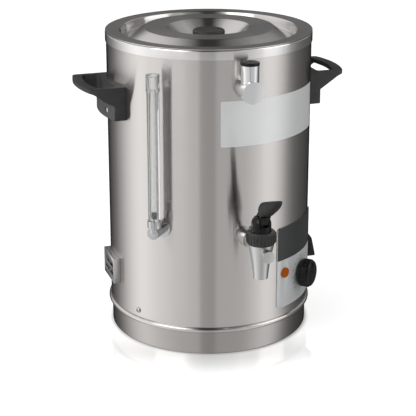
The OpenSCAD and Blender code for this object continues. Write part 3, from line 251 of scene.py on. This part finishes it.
# moulded plastic with a fine spark-eroded grain and slightly rubbed patches
plasticLooks = {
    "blackHandle": {"dark": (0.043, 0.043, 0.043), "pale": (0.058, 0.058, 0.058), "rough": 0.40, "grain": 1500,
                    "depth": 0.00005, "gloss": 0.35},
    # paler copy of the handle plastic: painted light on the outward flange faces
    "handlePaintedLight": {"dark": (0.078, 0.078, 0.078), "pale": (0.096, 0.096, 0.096), "rough": 0.40, "grain": 1500,
                   "depth": 0.00005, "gloss": 0.35},
    "blackTap": {"dark": (0.018, 0.018, 0.019), "pale": (0.038, 0.038, 0.040), "rough": 0.36, "grain": 1800,
                 "depth": 0.00004},
    "bonnetGloss": {"dark": (0.003, 0.003, 0.003), "pale": (0.006, 0.006, 0.006), "rough": 0.12, "grain": 1500,
                    "depth": 0.00001, "gloss": 0.22},
    "leverMatt": {"dark": (0.024, 0.024, 0.024), "pale": (0.034, 0.034, 0.034), "rough": 0.55, "grain": 1700,
                  "depth": 0.00004, "gloss": 0.3},
    "pegPlastic": {"dark": (0.10, 0.10, 0.098), "pale": (0.12, 0.119, 0.117), "rough": 0.4, "grain": 1600,
                   "depth": 0.00004, "gloss": 0.4},
    "collarPlastic": {"dark": (0.028, 0.028, 0.027), "pale": (0.046, 0.045, 0.044), "rough": 0.46, "grain": 1600,
                      "depth": 0.00005, "gloss": 0.4},
    "blackControl": {"dark": (0.004, 0.004, 0.004), "pale": (0.010, 0.010, 0.010), "rough": 0.30, "grain": 1700,
                     "depth": 0.00003, "gloss": 0.25},
    "sealRubber": {"dark": (0.030, 0.030, 0.030), "pale": (0.060, 0.060, 0.060), "rough": 0.70, "grain": 900,
                   "depth": 0.00008},
    "valveCup": {"dark": (0.62, 0.60, 0.55), "pale": (0.74, 0.72, 0.67), "rough": 0.55, "grain": 900,
                 "depth": 0.00004},
    "creamPlastic": {"dark": (0.60, 0.57, 0.48), "pale": (0.70, 0.67, 0.58), "rough": 0.50, "grain": 1200,
                     "depth": 0.00005},
    "darkPlastic": {"dark": (0.030, 0.026, 0.022), "pale": (0.060, 0.052, 0.046), "rough": 0.45, "grain": 1200,
                    "depth": 0.00005},
    "floatPlastic": {"dark": (0.010, 0.035, 0.025), "pale": (0.018, 0.060, 0.043), "rough": 0.20, "grain": 1500,
                     "depth": 0.00002},
}


def plasticFinish(name, look):
    material, f = newFinish(name)
    here = f.place()
    grain = f.noise(here, look["grain"], 2.0, 0.5)
    rubbed = f.noise(here, 45.0, 4.0, 0.6).between(0.42, 0.72)
    f.surface(Base_Color=f.colours(rubbed, rgb(*look["dark"]), rgb(*look["pale"])),
              Specular_IOR_Level=look.get("gloss", 0.5),
              Roughness=(look["rough"] + grain * 0.08 - rubbed * 0.07).clipped(),
              Normal=f.bump(grain, look["depth"], 0.6))
    return material


brassLooks = {"brass": (0.70, 0.53, 0.25), "copper": (0.72, 0.40, 0.25)}


def brassFinish(name, tint):
    material, f = newFinish(name)
    here = f.place()
    turned = f.noise(f.stretched(here, (1, 1, 40)), 60.0, 3.0, 0.6)
    dull = f.noise(here, 120.0, 4.0, 0.6)
    f.surface(Base_Color=f.colours(dull, scaled(tint, 0.7), rgb(*tint)), Metallic=1.0,
              Roughness=(0.22 + turned * 0.14 + dull * 0.1).clipped(), Normal=f.bump(turned, 0.00004, 0.4))
    return material


def clearFinish(name):
    material, f = newFinish(name)
    here = f.place()
    scratches = f.noise(f.stretched(here, (600, 600, 12)), 1.0, 2.0, 0.5)
    f.surface(Base_Color=f.colours(scratches, rgb(0.95, 0.965, 0.965), rgb(0.99, 0.995, 0.995)),
              IOR=1.47, Transmission_Weight=0.94, Roughness=scratches.between(0.55, 0.9) * 0.03 + 0.01)
    return material


# printed film or lacquer with faint orange peel: two shades, roughness, and how much metal shows through
filmLooks = {
    "panelFilm": ((0.635, 0.645, 0.65), (0.685, 0.695, 0.70), 0.36, 0.28),
    "darkFilm": ((0.027, 0.028, 0.029), (0.034, 0.035, 0.037), 0.36, 0.0),
    "paleFilm": ((0.83, 0.835, 0.84), (0.86, 0.865, 0.87), 0.38, 0.40),
    "tickInk": ((0.030, 0.030, 0.032), (0.045, 0.045, 0.047), 0.5, 0.0),
}


def filmFinish(name, first, second, rough, metal):
    material, f = newFinish(name)
    here = f.place()
    peel = f.noise(here, 700.0, 2.0, 0.5)
    cloud = f.noise(here, 35.0, 3.0, 0.5)
    f.surface(Base_Color=f.colours(cloud, rgb(*first), rgb(*second)),
              Roughness=(rough + (cloud - 0.5) * 0.12).clipped(),
              Metallic=metal, Anisotropic=0.8 if metal else 0.0, Anisotropic_Rotation=0.25,
              Normal=f.bump(peel, 0.00003, 0.4))
    return material


def lensFinish(name):
    material, f = newFinish(name)
    facets = f.noise(f.place(), 420.0, 2.0, 0.5)
    amber = f.colours(facets, rgb(0.30, 0.055, 0.0005), rgb(0.42, 0.095, 0.001))
    f.surface(Base_Color=amber, Roughness=0.16 + facets * 0.12, Emission_Color=amber, Emission_Strength=0.10,
              Normal=f.bump(facets, 0.0002, 0.5), Specular_IOR_Level=0.08)
    return material


finishes = {name: steelFinish(name, look) for name, look in steelLooks.items()}
finishes.update({name: plasticFinish(name, look) for name, look in plasticLooks.items()})
finishes.update({name: chromeFinish(name, *look) for name, look in chromeLooks.items()})
finishes.update({name: brassFinish(name, tint) for name, tint in brassLooks.items()})
finishes["clearTube"] = clearFinish("clearTube")
finishes.update({name: filmFinish(name, *look) for name, look in filmLooks.items()})
finishes["amberLens"] = lensFinish("amberLens")
print("finishes:", len(finishes))

# the finish of each material slot, and of pieces that differ from their slot
finishOf = {
    "body_steel": "bodySteel", "skirt_steel": "skirtSteel", "inner_steel": "innerSteel", "rim_steel": "rimSteel",
    "lid_steel": "lidSteel", "vent_steel": "ventSteel", "screw_steel": "screwSteel", "chrome_fitting": "chrome",
    "black_handle": "blackHandle", "black_tap": "blackTap", "black_control": "blackControl",
    "seal_rubber": "sealRubber", "valve_cup": "valveCup", "clear_tube": "clearTube", "float_dark": "floatPlastic",
    "panel_metal": "panelFilm", "amber_lens": "amberLens", "cream_plastic": "creamPlastic",
    "dark_plastic": "darkPlastic", "brass_nut": "brass", "copper_bulb": "copper", "element_steel": "elementSteel",
}
ownFinish = {
    "ribbed_collar": "collarPlastic", "bonnet": "bonnetGloss", "tap_lever": "leverMatt", "tap_body": "tapChrome",
    "union_nut": "unionChrome", "gauge_elbow": "gaugeChrome", "gauge_flange": "gaugeChrome",
}


def nodeFinish(node):
    return finishes[ownFinish.get(node) or finishOf[slotOf[node]]]


for node, obj in nodes.items():
    obj.data.materials.clear()
    obj.data.materials.append(nodeFinish(node))


def link(name, mesh, finish):
    obj = bpy.data.objects.new(name, mesh)
    scene.collection.objects.link(obj)
    mesh.materials.clear()
    mesh.materials.append(finishes[finish] if isinstance(finish, str) else finish)
    return obj


def bareCopy(node):  # a CAD piece's mesh, with its stored shading dropped
    mesh = nodes[node].data.copy()
    if "custom_normal" in mesh.attributes:
        mesh.attributes.remove(mesh.attributes["custom_normal"])
    return mesh


def standsFor(obj, node):
    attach(obj, bodyOf[node])
    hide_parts(node)


def settled(obj):  # modifiers made into a plain mesh
    graph = bpy.context.evaluated_depsgraph_get()
    mesh = bpy.data.meshes.new_from_object(obj.evaluated_get(graph))
    obj.modifiers.clear()
    obj.data = mesh
    return obj


def smoothed(mesh, angle):
    mesh.polygons.foreach_set("use_smooth", [True] * len(mesh.polygons))
    mesh.set_sharp_from_angle(angle=math.radians(angle))


def round3(az, r, z):  # a point at an azimuth from the tap, in mm, as metres
    a = math.radians(az)
    return Vector((r * math.sin(a), -r * math.cos(a), z)) / 1000


def upNormals(mesh):  # walls of the round body shade as a true cylinder
    corner = [Vector(n.vector) for n in mesh.corner_normals]
    for face in mesh.polygons:
        if abs(face.normal.z) > 0.02:
            continue
        for i in face.loop_indices:
            p = mesh.vertices[mesh.loops[i].vertex_index].co
            out = Vector((p.x, p.y, 0)).normalized()
            lean = out.dot(face.normal)
            if abs(lean) > 0.97:
                corner[i] = out if lean > 0 else -out
    mesh.normals_split_custom_set([tuple(n) for n in corner])


# CAD pieces with their edges eased: edge radius in mm, then the angle that counts as an edge
easedPieces = {
    "outer_jacket": ("outerJacket", 0, 30), "base_skirt": ("baseSkirt", 0, 24), "rim_band": ("rimBand", 0, 24),
    "lid": ("lidShell", 0, 24), "inner_pot": ("innerPot", 0, 24), "lid_knob": ("lidKnob", 0, 32),
    "left_handle": ("handleLeft", 1.1, 30), "right_handle": ("handleRight", 1.1, 30),
    "union_nut": ("unionNut", 0.3, 32), "tap_body": ("tapBody", 0.35, 32), "bonnet": ("tapBonnet", 0.5, 32),
    "ribbed_collar": ("tapCollar", 0, 40), "gauge_flange": ("gaugeFlange", 0.5, 32),
    "gauge_elbow": ("gaugeElbow", 0.5, 32), "gauge_tube": ("gaugeTube", 0.2, 32),
    "gauge_cap": ("gaugeCap", 0.5, 32), "gauge_float": ("gaugeFloat", 0, 32),
    "filler_body": ("fillerBody", 0.5, 32), "filler_cap": ("fillerCap", 0.3, 32),
    "control_panel": ("controlPanel", 0.2, 32), "lamp_lens": ("lampLens", 0.2, 32),
    "vent_cover": ("ventCover", 0.5, 30), "cable_hood": ("cableHood", 0.9, 30),
    "thermostat_nut": ("thermostatNut", 0.2, 32), "lever_pin": ("leverPin", 0.2, 32),
    "valve_stem": ("valveStem", 0.1, 32), "base_plate": ("basePlate", 0, 32),
}

# part of a piece in a second finish: which one, and the faces that take it; some of these are painted light or shade
elbowWay = round3(-45, 1000, 0)
secondFinish = {
    # turned end
    "gauge_elbow": ("discSatin", lambda f: f.normal.dot(elbowWay) > 0.99 and f.center.dot(elbowWay) > 0.16),
    "base_skirt": ("beadHighlightSteel", lambda f: f.center.z > 0.0318 and f.center.xy.length > 0.1388),  # rolled bead, painted brighter: painted highlight
    "bonnet": ("pegPlastic", lambda f: f.center.x < -0.0126),  # side peg
    "tap_lever": ("bonnetGloss", lambda f: f.center.z < 0.2242),  # neck in the bonnet's darker glossy black: painted shade on the one-plastic lever
    "left_handle": ("handlePaintedLight", lambda f: f.center.z < 0.334 and f.normal.x < -0.9),  # screwed flange, painted lighter on its outward face: painted light
    "right_handle": ("handlePaintedLight", lambda f: f.center.z < 0.334 and f.normal.x > 0.9),
}


def secondTone(obj, node):
    if node in secondFinish:
        finish, takes = secondFinish[node]
        obj.data.materials.append(finishes[finish])
        for face in obj.data.polygons:
            face.material_index = int(takes(face))


def eased(node, name, radius, angle):
    mesh = bareCopy(node)
    bm = bmesh.new()
    bm.from_mesh(mesh)
    bmesh.ops.remove_doubles(bm, verts=bm.verts, dist=2e-6)
    if radius:
        bmesh.ops.dissolve_limit(bm, angle_limit=math.radians(0.3), verts=bm.verts, edges=bm.edges)
    bm.to_mesh(mesh)
    bm.free()
    obj = link(name, mesh, nodeFinish(node))
    if radius:
        edge = obj.modifiers.new("easedEdge", "BEVEL")
        edge.width, edge.segments, edge.profile = radius / 1000, 3, 0.5
        edge.limit_method, edge.angle_limit = "ANGLE", math.radians(angle)
        edge.miter_outer = "MITER_ARC"
        settled(obj)
    smoothed(obj.data, 60 if radius else angle)
    if node == "outer_jacket":
        upNormals(obj.data)
    secondTone(obj, node)
    standsFor(obj, node)


for node, (name, radius, angle) in easedPieces.items():
    eased(node, name, radius, angle)
print("eased pieces:", len(easedPieces))

# the lever is moulded in one with no hard edge above the bonnet, whose height is in mm like the cell
leverShape = {"node": "tap_lever", "name": "tapLever", "cell": 0.6, "rounds": 90, "above": 219.0,
              "ramp": 4.0, "least": 0.08, "shadeRounds": 260, "fade": 6.0}


def calmNormals(mesh, rounds, above, fade):  # shading flows over the ridges of the blade
    ends = np.empty(len(mesh.edges) * 2, int)
    mesh.edges.foreach_get("vertices", ends)
    a, b = ends.reshape(-1, 2).T
    spots = np.empty(len(mesh.vertices) * 3)
    mesh.vertices.foreach_get("co", spots)
    share = np.clip((spots.reshape(-1, 3)[:, 2] - above) / fade, 0, 1)[:, None]
    first = np.array([n.vector for n in mesh.vertex_normals])
    flow = first.copy()
    for _ in range(rounds):
        total = flow.copy()
        np.add.at(total, a, flow[b])
        np.add.at(total, b, flow[a])
        flow = total / np.linalg.norm(total, axis=1, keepdims=True)
    mixed = first * (1 - share) + flow * share
    mixed /= np.linalg.norm(mixed, axis=1, keepdims=True)
    mesh.normals_split_custom_set_from_vertices(mixed)


def softened(d):
    obj = link(d["name"], bareCopy(d["node"]), nodeFinish(d["node"]))
    cells = obj.modifiers.new("cells", "REMESH")
    cells.mode, cells.voxel_size = "VOXEL", d["cell"] / 1000
    settled(obj)
    upper = obj.vertex_groups.new(name="upper")
    for v in obj.data.vertices:
        weight = max(d["least"], (v.co.z * 1000 - d["above"]) / d["ramp"])
        upper.add([v.index], min(1.0, weight), "REPLACE")
    rounding = obj.modifiers.new("rounding", "SMOOTH")
    rounding.factor, rounding.iterations, rounding.vertex_group = 0.5, d["rounds"], "upper"
    settled(obj)
    obj.vertex_groups.clear()
    smoothed(obj.data, 180)
    calmNormals(obj.data, d["shadeRounds"], d["above"] / 1000, d["fade"] / 1000)
    secondTone(obj, d["node"])
    standsFor(obj, d["node"])


softened(leverShape)
print("lever")

# bare plates bent to the jacket and the panel: mm and degrees from the tap
palePlate = {"radius": 140.03, "thick": 0.16, "fromAz": -12.7, "toAz": 60, "bottom": 291.8, "top": 352.9,
             "lowCorner": 2.5, "highCorner": 2.5, "columns": 72}
darkPlate = {"radius": 140.15, "thick": 1.55, "fromAz": 22.34, "toAz": 68.66, "bottom": 121.0, "top": 167.65,
             "lowCorner": 0.4, "highCorner": 6.0, "columns": 72}


def curvedPlate(name, finish, d):
    arc = math.radians(d["toAz"] - d["fromAz"]) * d["radius"]
    cuts = {round(arc * i / d["columns"], 4) for i in range(d["columns"] + 1)}
    corners = (d["lowCorner"], d["highCorner"])
    for corner in corners:
        inset = {round(corner * (1 - math.cos(math.radians(t))), 4) for t in range(0, 91, 10)}
        cuts |= inset | {round(arc - c, 4) for c in inset}
    bm = bmesh.new()
    rows = []
    for u in sorted(cuts):
        low, high = [c - math.sqrt(max(0.0, c ** 2 - max(0.0, c - min(u, arc - u)) ** 2)) for c in corners]
        az = d["fromAz"] + math.degrees(u / d["radius"])
        inner, outer, foot, head = d["radius"], d["radius"] + d["thick"], d["bottom"] + low, d["top"] - high
        rows.append([bm.verts.new(round3(az, r, z)) for r, z in
                     ((inner, foot), (outer, foot), (outer, head), (inner, head))])
    for a, b in zip(rows, rows[1:]):
        for i in range(4):
            j = (i + 1) % 4
            bm.faces.new((a[i], b[i], b[j], a[j]))
    bm.faces.new(rows[0])
    bm.faces.new(rows[-1][::-1])
    bmesh.ops.recalc_face_normals(bm, faces=bm.faces)
    mesh = bpy.data.meshes.new(name)
    bm.to_mesh(mesh)
    bm.free()
    smoothed(mesh, 30)
    obj = link(name, mesh, finish)
    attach(obj, "urn")
    return obj


curvedPlate("palePlate", "paleFilm", palePlate)
curvedPlate("darkPlate", "darkFilm", darkPlate)
print("plates on the jacket and panel")

# screws with a cross recess, each with its head's seat in mm and the way it points
baseScrews = {"node": "base_screws", "name": "baseScrews", "finish": "boltSteel", "seat": 140.1, "z": 48.5,
              "azimuths": (-62.3, 117.7),
              "sizes": {"headRadius": 0.0038, "headHeight": 0.0024, "recess": 0.0011, "shankRadius": 0.002,
                        "shankLength": 0.007, "sides": 28}}
handleScrews = {"node": "handle_screws", "name": "handleScrews", "finish": "screwSteel", "seat": 152.6, "z": 324.5,
                "azimuths": (-99.3, -80.7, 80.7, 99.3),
                "sizes": {"headRadius": 0.004, "headHeight": 0.002, "recess": 0.0012, "shankRadius": 0.002,
                          "shankLength": 0.0177, "sides": 28}}


def makeScrews(d):
    g = Shape(d["name"] + "Tree", d["sizes"])
    radius, height, recess, sides = (g.given[k] for k in ("headRadius", "headHeight", "recess", "sides"))
    ball = g.add("GeometryNodeMeshUVSphere", {}, {"Segments": sides, "Rings": sides / 2, "Radius": radius})
    dome = g.add("GeometryNodeTransform", {}, {"Geometry": ball, "Scale": g.vector(1.0, 1.0, height / radius)})

    def block(x, y, z, lift):
        cube = g.add("GeometryNodeMeshCube", {}, {"Size": g.vector(x, y, z)})
        return g.add("GeometryNodeTransform", {}, {"Geometry": cube, "Translation": g.vector(0.0, 0.0, lift)})

    cuts = [block(radius * 1.25, recess, height, height * 1.02), block(recess, radius * 1.25, height, height * 1.02),
            block(radius * 3, radius * 3, height * 2, 0 - height)]
    head = g.add("GeometryNodeMeshBoolean", {"operation": "DIFFERENCE"}, {"Mesh 1": dome, "Mesh 2": cuts})
    thin, length = g.given["shankRadius"], g.given["shankLength"]
    shank = g.add("GeometryNodeMeshCylinder", {}, {"Vertices": sides, "Radius": thin, "Depth": length})
    shank = g.add("GeometryNodeTransform", {}, {"Geometry": shank, "Translation": g.vector(0.0, 0.0, length * -0.5)})
    screw = g.add("GeometryNodeJoinGeometry", {}, {"Geometry": [head, shank]})
    way = g.add("GeometryNodeInputNamedAttribute", {"data_type": "FLOAT_VECTOR"}, {"Name": "outward"})
    facing = g.add("FunctionNodeAlignRotationToVector", {"axis": "Z"}, {"Vector": way})
    g.close(g.copies(g.given["Geometry"], screw, facing), d["finish"])
    mesh = bpy.data.meshes.new(d["name"])
    mesh.from_pydata([round3(a, d["seat"], d["z"]) for a in d["azimuths"]], [], [])
    outward = mesh.attributes.new("outward", "FLOAT_VECTOR", "POINT")
    outward.data.foreach_set("vector", [v for a in d["azimuths"] for v in round3(a, 1000, 0)])
    obj = g.make(link(d["name"], mesh, d["finish"]))
    smoothed(obj.data, 38)
    standsFor(obj, d["node"])


makeScrews(baseScrews)
makeScrews(handleScrews)
print("screws")

# the dial's knob: a domed cap with a pointer ridge and fine ribs round its side, sizes in mm from its seat
knobShape = {"azimuth": 45.5, "z": 89.0, "seat": 144.2, "sides": 72,
             "profile": [(19.0, 0), (19.4, 0.4), (19.4, 2.0), (18.8, 2.5), (18.8, 11.0), (18.4, 12.8), (17.3, 14.5),
                         (15.2, 15.7), (11.5, 16.3), (6.0, 16.5)],
             "ridgeWide": 4.4, "ridgeFrom": 1.0, "ridgeTo": 17.6,
             "ridgeLow": 11.0, "ridgeHigh": 17.3, "ridgeEdge": 0.9,
             "sizes": {"ribs": 44, "ribRing": 0.0187, "ribRadius": 0.0008, "ribLength": 0.0088, "ribMiddle": 0.0070}}


def makeKnob(d):
    bm = bmesh.new()
    turns = [2 * math.pi * i / d["sides"] for i in range(d["sides"])]
    rings = [[bm.verts.new(Vector((r * math.cos(t), r * math.sin(t), h)) / 1000) for t in turns]
             for r, h in d["profile"]]
    low, high = [bm.verts.new((0, 0, h / 1000)) for r, h in (d["profile"][0], d["profile"][-1])]
    for i in range(d["sides"]):
        j = (i + 1) % d["sides"]
        bm.faces.new((low, rings[0][j], rings[0][i]))
        bm.faces.new((high, rings[-1][i], rings[-1][j]))
        for a, b in zip(rings, rings[1:]):
            bm.faces.new((a[i], a[j], b[j], b[i]))
    box = bmesh.ops.create_cube(bm, size=1.0)["verts"]
    size = Vector((d["ridgeWide"], d["ridgeTo"] - d["ridgeFrom"], d["ridgeHigh"] - d["ridgeLow"])) / 1000
    middle = Vector((0, (d["ridgeTo"] + d["ridgeFrom"]) / 2, (d["ridgeHigh"] + d["ridgeLow"]) / 2)) / 1000
    for v in box:
        v.co = Vector((v.co.x * size.x, v.co.y * size.y, v.co.z * size.z)) + middle
    edges = {e for v in box for e in v.link_edges}
    bmesh.ops.bevel(bm, geom=list(edges), offset=d["ridgeEdge"] / 1000, segments=4, affect="EDGES", profile=0.5)
    mesh = bpy.data.meshes.new("controlKnob")
    bm.to_mesh(mesh)
    bm.free()
    g = Shape("controlKnobTree", d["sizes"])
    ring = g.add("GeometryNodeMeshCircle", {}, {"Vertices": g.given["ribs"], "Radius": g.given["ribRing"]})
    thin, length = g.given["ribRadius"], g.given["ribLength"]
    rib = g.add("GeometryNodeMeshCylinder", {}, {"Vertices": 10, "Radius": thin, "Depth": length})
    rib = g.add("GeometryNodeTransform", {},
                {"Geometry": rib, "Translation": g.vector(0.0, 0.0, g.given["ribMiddle"])})
    whole = g.add("GeometryNodeJoinGeometry", {}, {"Geometry": [g.given["Geometry"], g.copies(ring, rib, (0, 0, 0))]})
    seat, turn = round3(d["azimuth"], d["seat"], d["z"]), (math.radians(90), 0, math.radians(d["azimuth"]))
    g.close(g.add("GeometryNodeTransform", {}, {"Geometry": whole, "Translation": tuple(seat), "Rotation": turn}),
            "blackControl")
    obj = g.make(link("controlKnob", mesh, "blackControl"))
    smoothed(obj.data, 42)
    standsFor(obj, "control_knob")


makeKnob(knobShape)
print("control knob")

# tick marks round the dial, laid on the panel's curve
dialTicks = {"azimuth": 45.5, "z": 89.0,
             "sizes": {"count": 13, "ringRadius": 0.0243, "sweep": math.radians(270), "tickLength": 0.0026,
                       "tickWidth": 0.0007, "thickness": 0.00012, "panelRadius": 0.14152}}


def makeTicks(d):
    g = Shape("dialTicksTree", d["sizes"])
    count, ring, panel = (g.given[k] for k in ("count", "ringRadius", "panelRadius"))
    index = g.add("GeometryNodeInputIndex")
    angle = (index / (count - 1) - 0.5) * g.given["sweep"]
    spots = g.vector(angle.maths("SINE", angle) * ring, angle.maths("COSINE", angle) * ring, 0.0)
    line = g.moved(g.add("GeometryNodeMeshLine", {}, {"Count": count}), spots)
    size = g.vector(g.given["tickWidth"], g.given["tickLength"], g.given["thickness"])
    tick = g.add("GeometryNodeMeshCube", {}, {"Size": size})
    turn = g.add("FunctionNodeEulerToRotation", {}, {0: g.vector(0.0, 0.0, 0 - angle)})
    third = index.maths("MODULO", index, 3)  # every third tick is longer
    long = 1 + third.maths("LESS_THAN", third, 0.5) * 0.5
    flat = g.add("GeometryNodeRealizeInstances", {},
                 {"Geometry": g.copies(line, tick, turn, g.vector(1.0, long, 1.0))})
    u, v, w = g.parts(g.add("GeometryNodeInputPosition"))
    az = u / panel + math.radians(d["azimuth"])
    out = panel + w
    bent = g.vector(az.maths("SINE", az) * out, az.maths("COSINE", az) * out * -1, v + d["z"] / 1000)
    g.close(g.moved(flat, bent), "tickInk")
    obj = g.make(link("dialTicks", bpy.data.meshes.new("dialTicks"), "tickInk"))
    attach(obj, "urn")


makeTicks(dialTicks)
print("dial ticks")

# the tap's spring: one coil swept along a spiral
valveSpring = {"foot": (0, -0.205, 0.171487), "fixedEnd": (0, -0.205, 0.2021), "keep": 0.872,
               "sizes": {"turns": 6.0, "coilRadius": 0.005, "coilHeight": 0.029826, "wireRadius": 0.0006,
                         "steps": 28}}


def makeSpring(d):
    g = Shape("valveSpringTree", d["sizes"])
    turns, radius, height, steps = (g.given[k] for k in ("turns", "coilRadius", "coilHeight", "steps"))
    path = g.add("GeometryNodeCurveSpiral", {}, {"Resolution": steps, "Rotations": turns, "Start Radius": radius,
                                                 "End Radius": radius, "Height": height})
    wire = g.add("GeometryNodeCurvePrimitiveCircle", {}, {"Resolution": 10, "Radius": g.given["wireRadius"]})
    coil = g.add("GeometryNodeCurveToMesh", {}, {"Curve": path, "Profile Curve": wire, "Fill Caps": True})
    g.close(g.add("GeometryNodeTransform", {}, {"Geometry": coil, "Translation": d["foot"]}), "screwSteel")
    obj = g.make(link("valveSpring", bpy.data.meshes.new("valveSpring"), "screwSteel"))
    smoothed(obj.data, 50)
    standsFor(obj, "valve_spring")
    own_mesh(obj)


makeSpring(valveSpring)
print("valve spring")

# floor, studio and light: bands run round the horizon in degrees, ceiling from left to right, both as brightness
studio = {"floorSize": 12.0, "turn": 19.0, "peak": 1.5, "rear": 0.20, "footRadius": 0.136, "mirrorReach": 0.105,
          "mirror": 0.54, "floorGlow": 0.62,
          "bands": [(-180, 0.10), (-152, 0.15), (-131, 0.33), (-116, 0.64), (-104, 0.94), (-94, 1.15), (-84, 1.25),
                    (-75, 1.17), (-60, 0.95), (-43, 0.81), (-36, 0.745), (-11.5, 0.715), (-9, 0.50), (0, 0.46),
                    (6.5, 0.455), (9.5, 0.60), (28, 0.60), (41, 0.62), (56, 0.83), (68, 1.03), (78, 1.03),
                    (88, 0.78), (99, 0.40), (112, 0.20), (126, 0.14), (152, 0.12), (180, 0.10)],
          "ceiling": [(-1.0, 1.1), (-0.45, 1.0), (-0.29, 0.36), (-0.10, 0.05), (0.10, 0.05), (0.23, 0.22),
                      (0.45, 0.30), (0.58, 0.75), (0.8, 0.36), (1.0, 0.22)]}


def makeFloor(s):
    half = s["floorSize"] / 2
    mesh = bpy.data.meshes.new("floor")
    mesh.from_pydata([(-half, -half, 0), (half, -half, 0), (half, half, 0), (-half, half, 0)], [], [(0, 1, 2, 3)])
    material, f = newFinish("paleFloor")
    seen = f.add("ShaderNodeLightPath", out="Is Camera Ray")
    x, y, z = f.parts(f.place())
    turn = math.radians(s["turn"])
    # the floor is polished in front of the foot
    front = (x * -math.sin(turn) - y * math.cos(turn)).between(0.05, 0.15)
    radius = (x * x + y * y) ** 0.5
    near = (1 - radius.between(s["footRadius"], s["footRadius"] + s["mirrorReach"])) * front
    clear = radius.between(s["footRadius"], s["footRadius"] + 0.010)  # painted contact shadow: no glow in a 10 mm ring round the foot
    matt = f.add("ShaderNodeBsdfDiffuse", {}, {"Color": rgb(0.86, 0.86, 0.86)})
    glow = f.add("ShaderNodeEmission", {}, {"Color": rgb(1, 1, 1), "Strength": s["floorGlow"]})
    unlit = f.add("ShaderNodeEmission", {}, {"Strength": 0.0})
    # the glow, left off in the painted contact shadow
    shown = f.add("ShaderNodeMixShader", {}, {0: seen * clear, 1: unlit, 2: glow})
    lit = f.add("ShaderNodeAddShader", {}, {0: matt, 1: shown})
    sheen = f.add("ShaderNodeBsdfGlossy", {}, {"Color": rgb(1, 1, 1), "Roughness": 0.0})
    surface = f.add("ShaderNodeMixShader", {}, {0: near * s["mirror"], 1: lit, 2: sheen})
    f.add("ShaderNodeOutputMaterial", {}, {"Surface": surface})
    obj = link("floor", mesh, material)
    obj.visible_glossy = obj.visible_transmission = False


def makeWorld(s):
    world = bpy.data.worlds.new("studio")
    scene.world = world
    f = Finish(world)
    way = f.add("ShaderNodeTexCoord", out="Generated")
    turned = {"Vector": way, "Angle": math.radians(s["turn"])}
    x, y, z = f.parts(f.add("ShaderNodeVectorRotate", {"rotation_type": "Z_AXIS"}, turned))
    round01 = x.maths("ARCTAN2", x, 0 - y) / (2 * math.pi) + 0.5
    bandStops = [((a + 180) / 360, (v / s["peak"],) * 3) for a, v in s["bands"]]
    bands = f.add("ShaderNodeValToRGB", {"stops": bandStops}, {"Fac": round01})
    ceilingStops = [(0.5 + a / 2, (v / s["peak"],) * 3) for a, v in s["ceiling"]]
    ceiling = f.add("ShaderNodeValToRGB", {"stops": ceilingStops}, {"Fac": x * 0.5 + 0.5})
    ceiling = f.colours(y.between(0.75, 0.95), ceiling, rgb(*(s["rear"] / s["peak"],) * 3))
    light = f.colours(z.between(0.05, 0.28), bands, ceiling)
    level = (x * x + y * y) ** 0.5
    behind = (y / level).between(0.90, 0.94) * (1 - z.between(-0.08, 0.10))  # the dark end of the room
    light = f.colours(behind, light, rgb(0.004, 0.004, 0.004))
    paths = f.add("ShaderNodeLightPath").socket.node.outputs
    mirrored = Value(f, paths["Glossy Depth"]).above(0.5)
    through = Value(f, paths["Is Transmission Ray"])
    direct = Value(f, paths["Is Camera Ray"]) + Value(f, paths["Is Singular Ray"])  # the floor's mirror is singular
    seen = direct + through * (1 - mirrored)
    few = 1 - Value(f, paths["Transmission Depth"]).above(4.5)
    # the tube stands dark in the steel
    light = f.colours(through * mirrored * few * 0.8, light, rgb(0.02, 0.02, 0.02))
    room = f.add("ShaderNodeBackground", {}, {"Color": light, "Strength": s["peak"]})
    white = f.add("ShaderNodeBackground", {}, {"Color": rgb(1, 1, 1), "Strength": 1.0})
    surface = f.add("ShaderNodeMixShader", {}, {0: seen.clipped(), 1: room, 2: white})
    f.add("ShaderNodeOutputWorld", {}, {"Surface": surface})


lamps = {"keyLamp": {"place": (-1.9, -0.9, 1.7), "size": 1.7, "power": 18.0},
         "sideLamp": {"place": (1.7, -1.0, 1.3), "size": 1.5, "power": 11.0}}
lampAim = Vector((0, 0, 0.2))


def makeLamps(ls):
    for name, d in ls.items():
        data = bpy.data.lights.new(name, "AREA")
        data.energy, data.size = d["power"], d["size"]
        lamp = bpy.data.objects.new(name, data)
        lamp.location = d["place"]
        lamp.rotation_euler = (lampAim - Vector(d["place"])).to_track_quat("-Z", "Y").to_euler()
        scene.collection.objects.link(lamp)


makeFloor(studio)
makeWorld(studio)
makeLamps(lamps)
scene.view_settings.view_transform = "Standard"
print("studio ready")
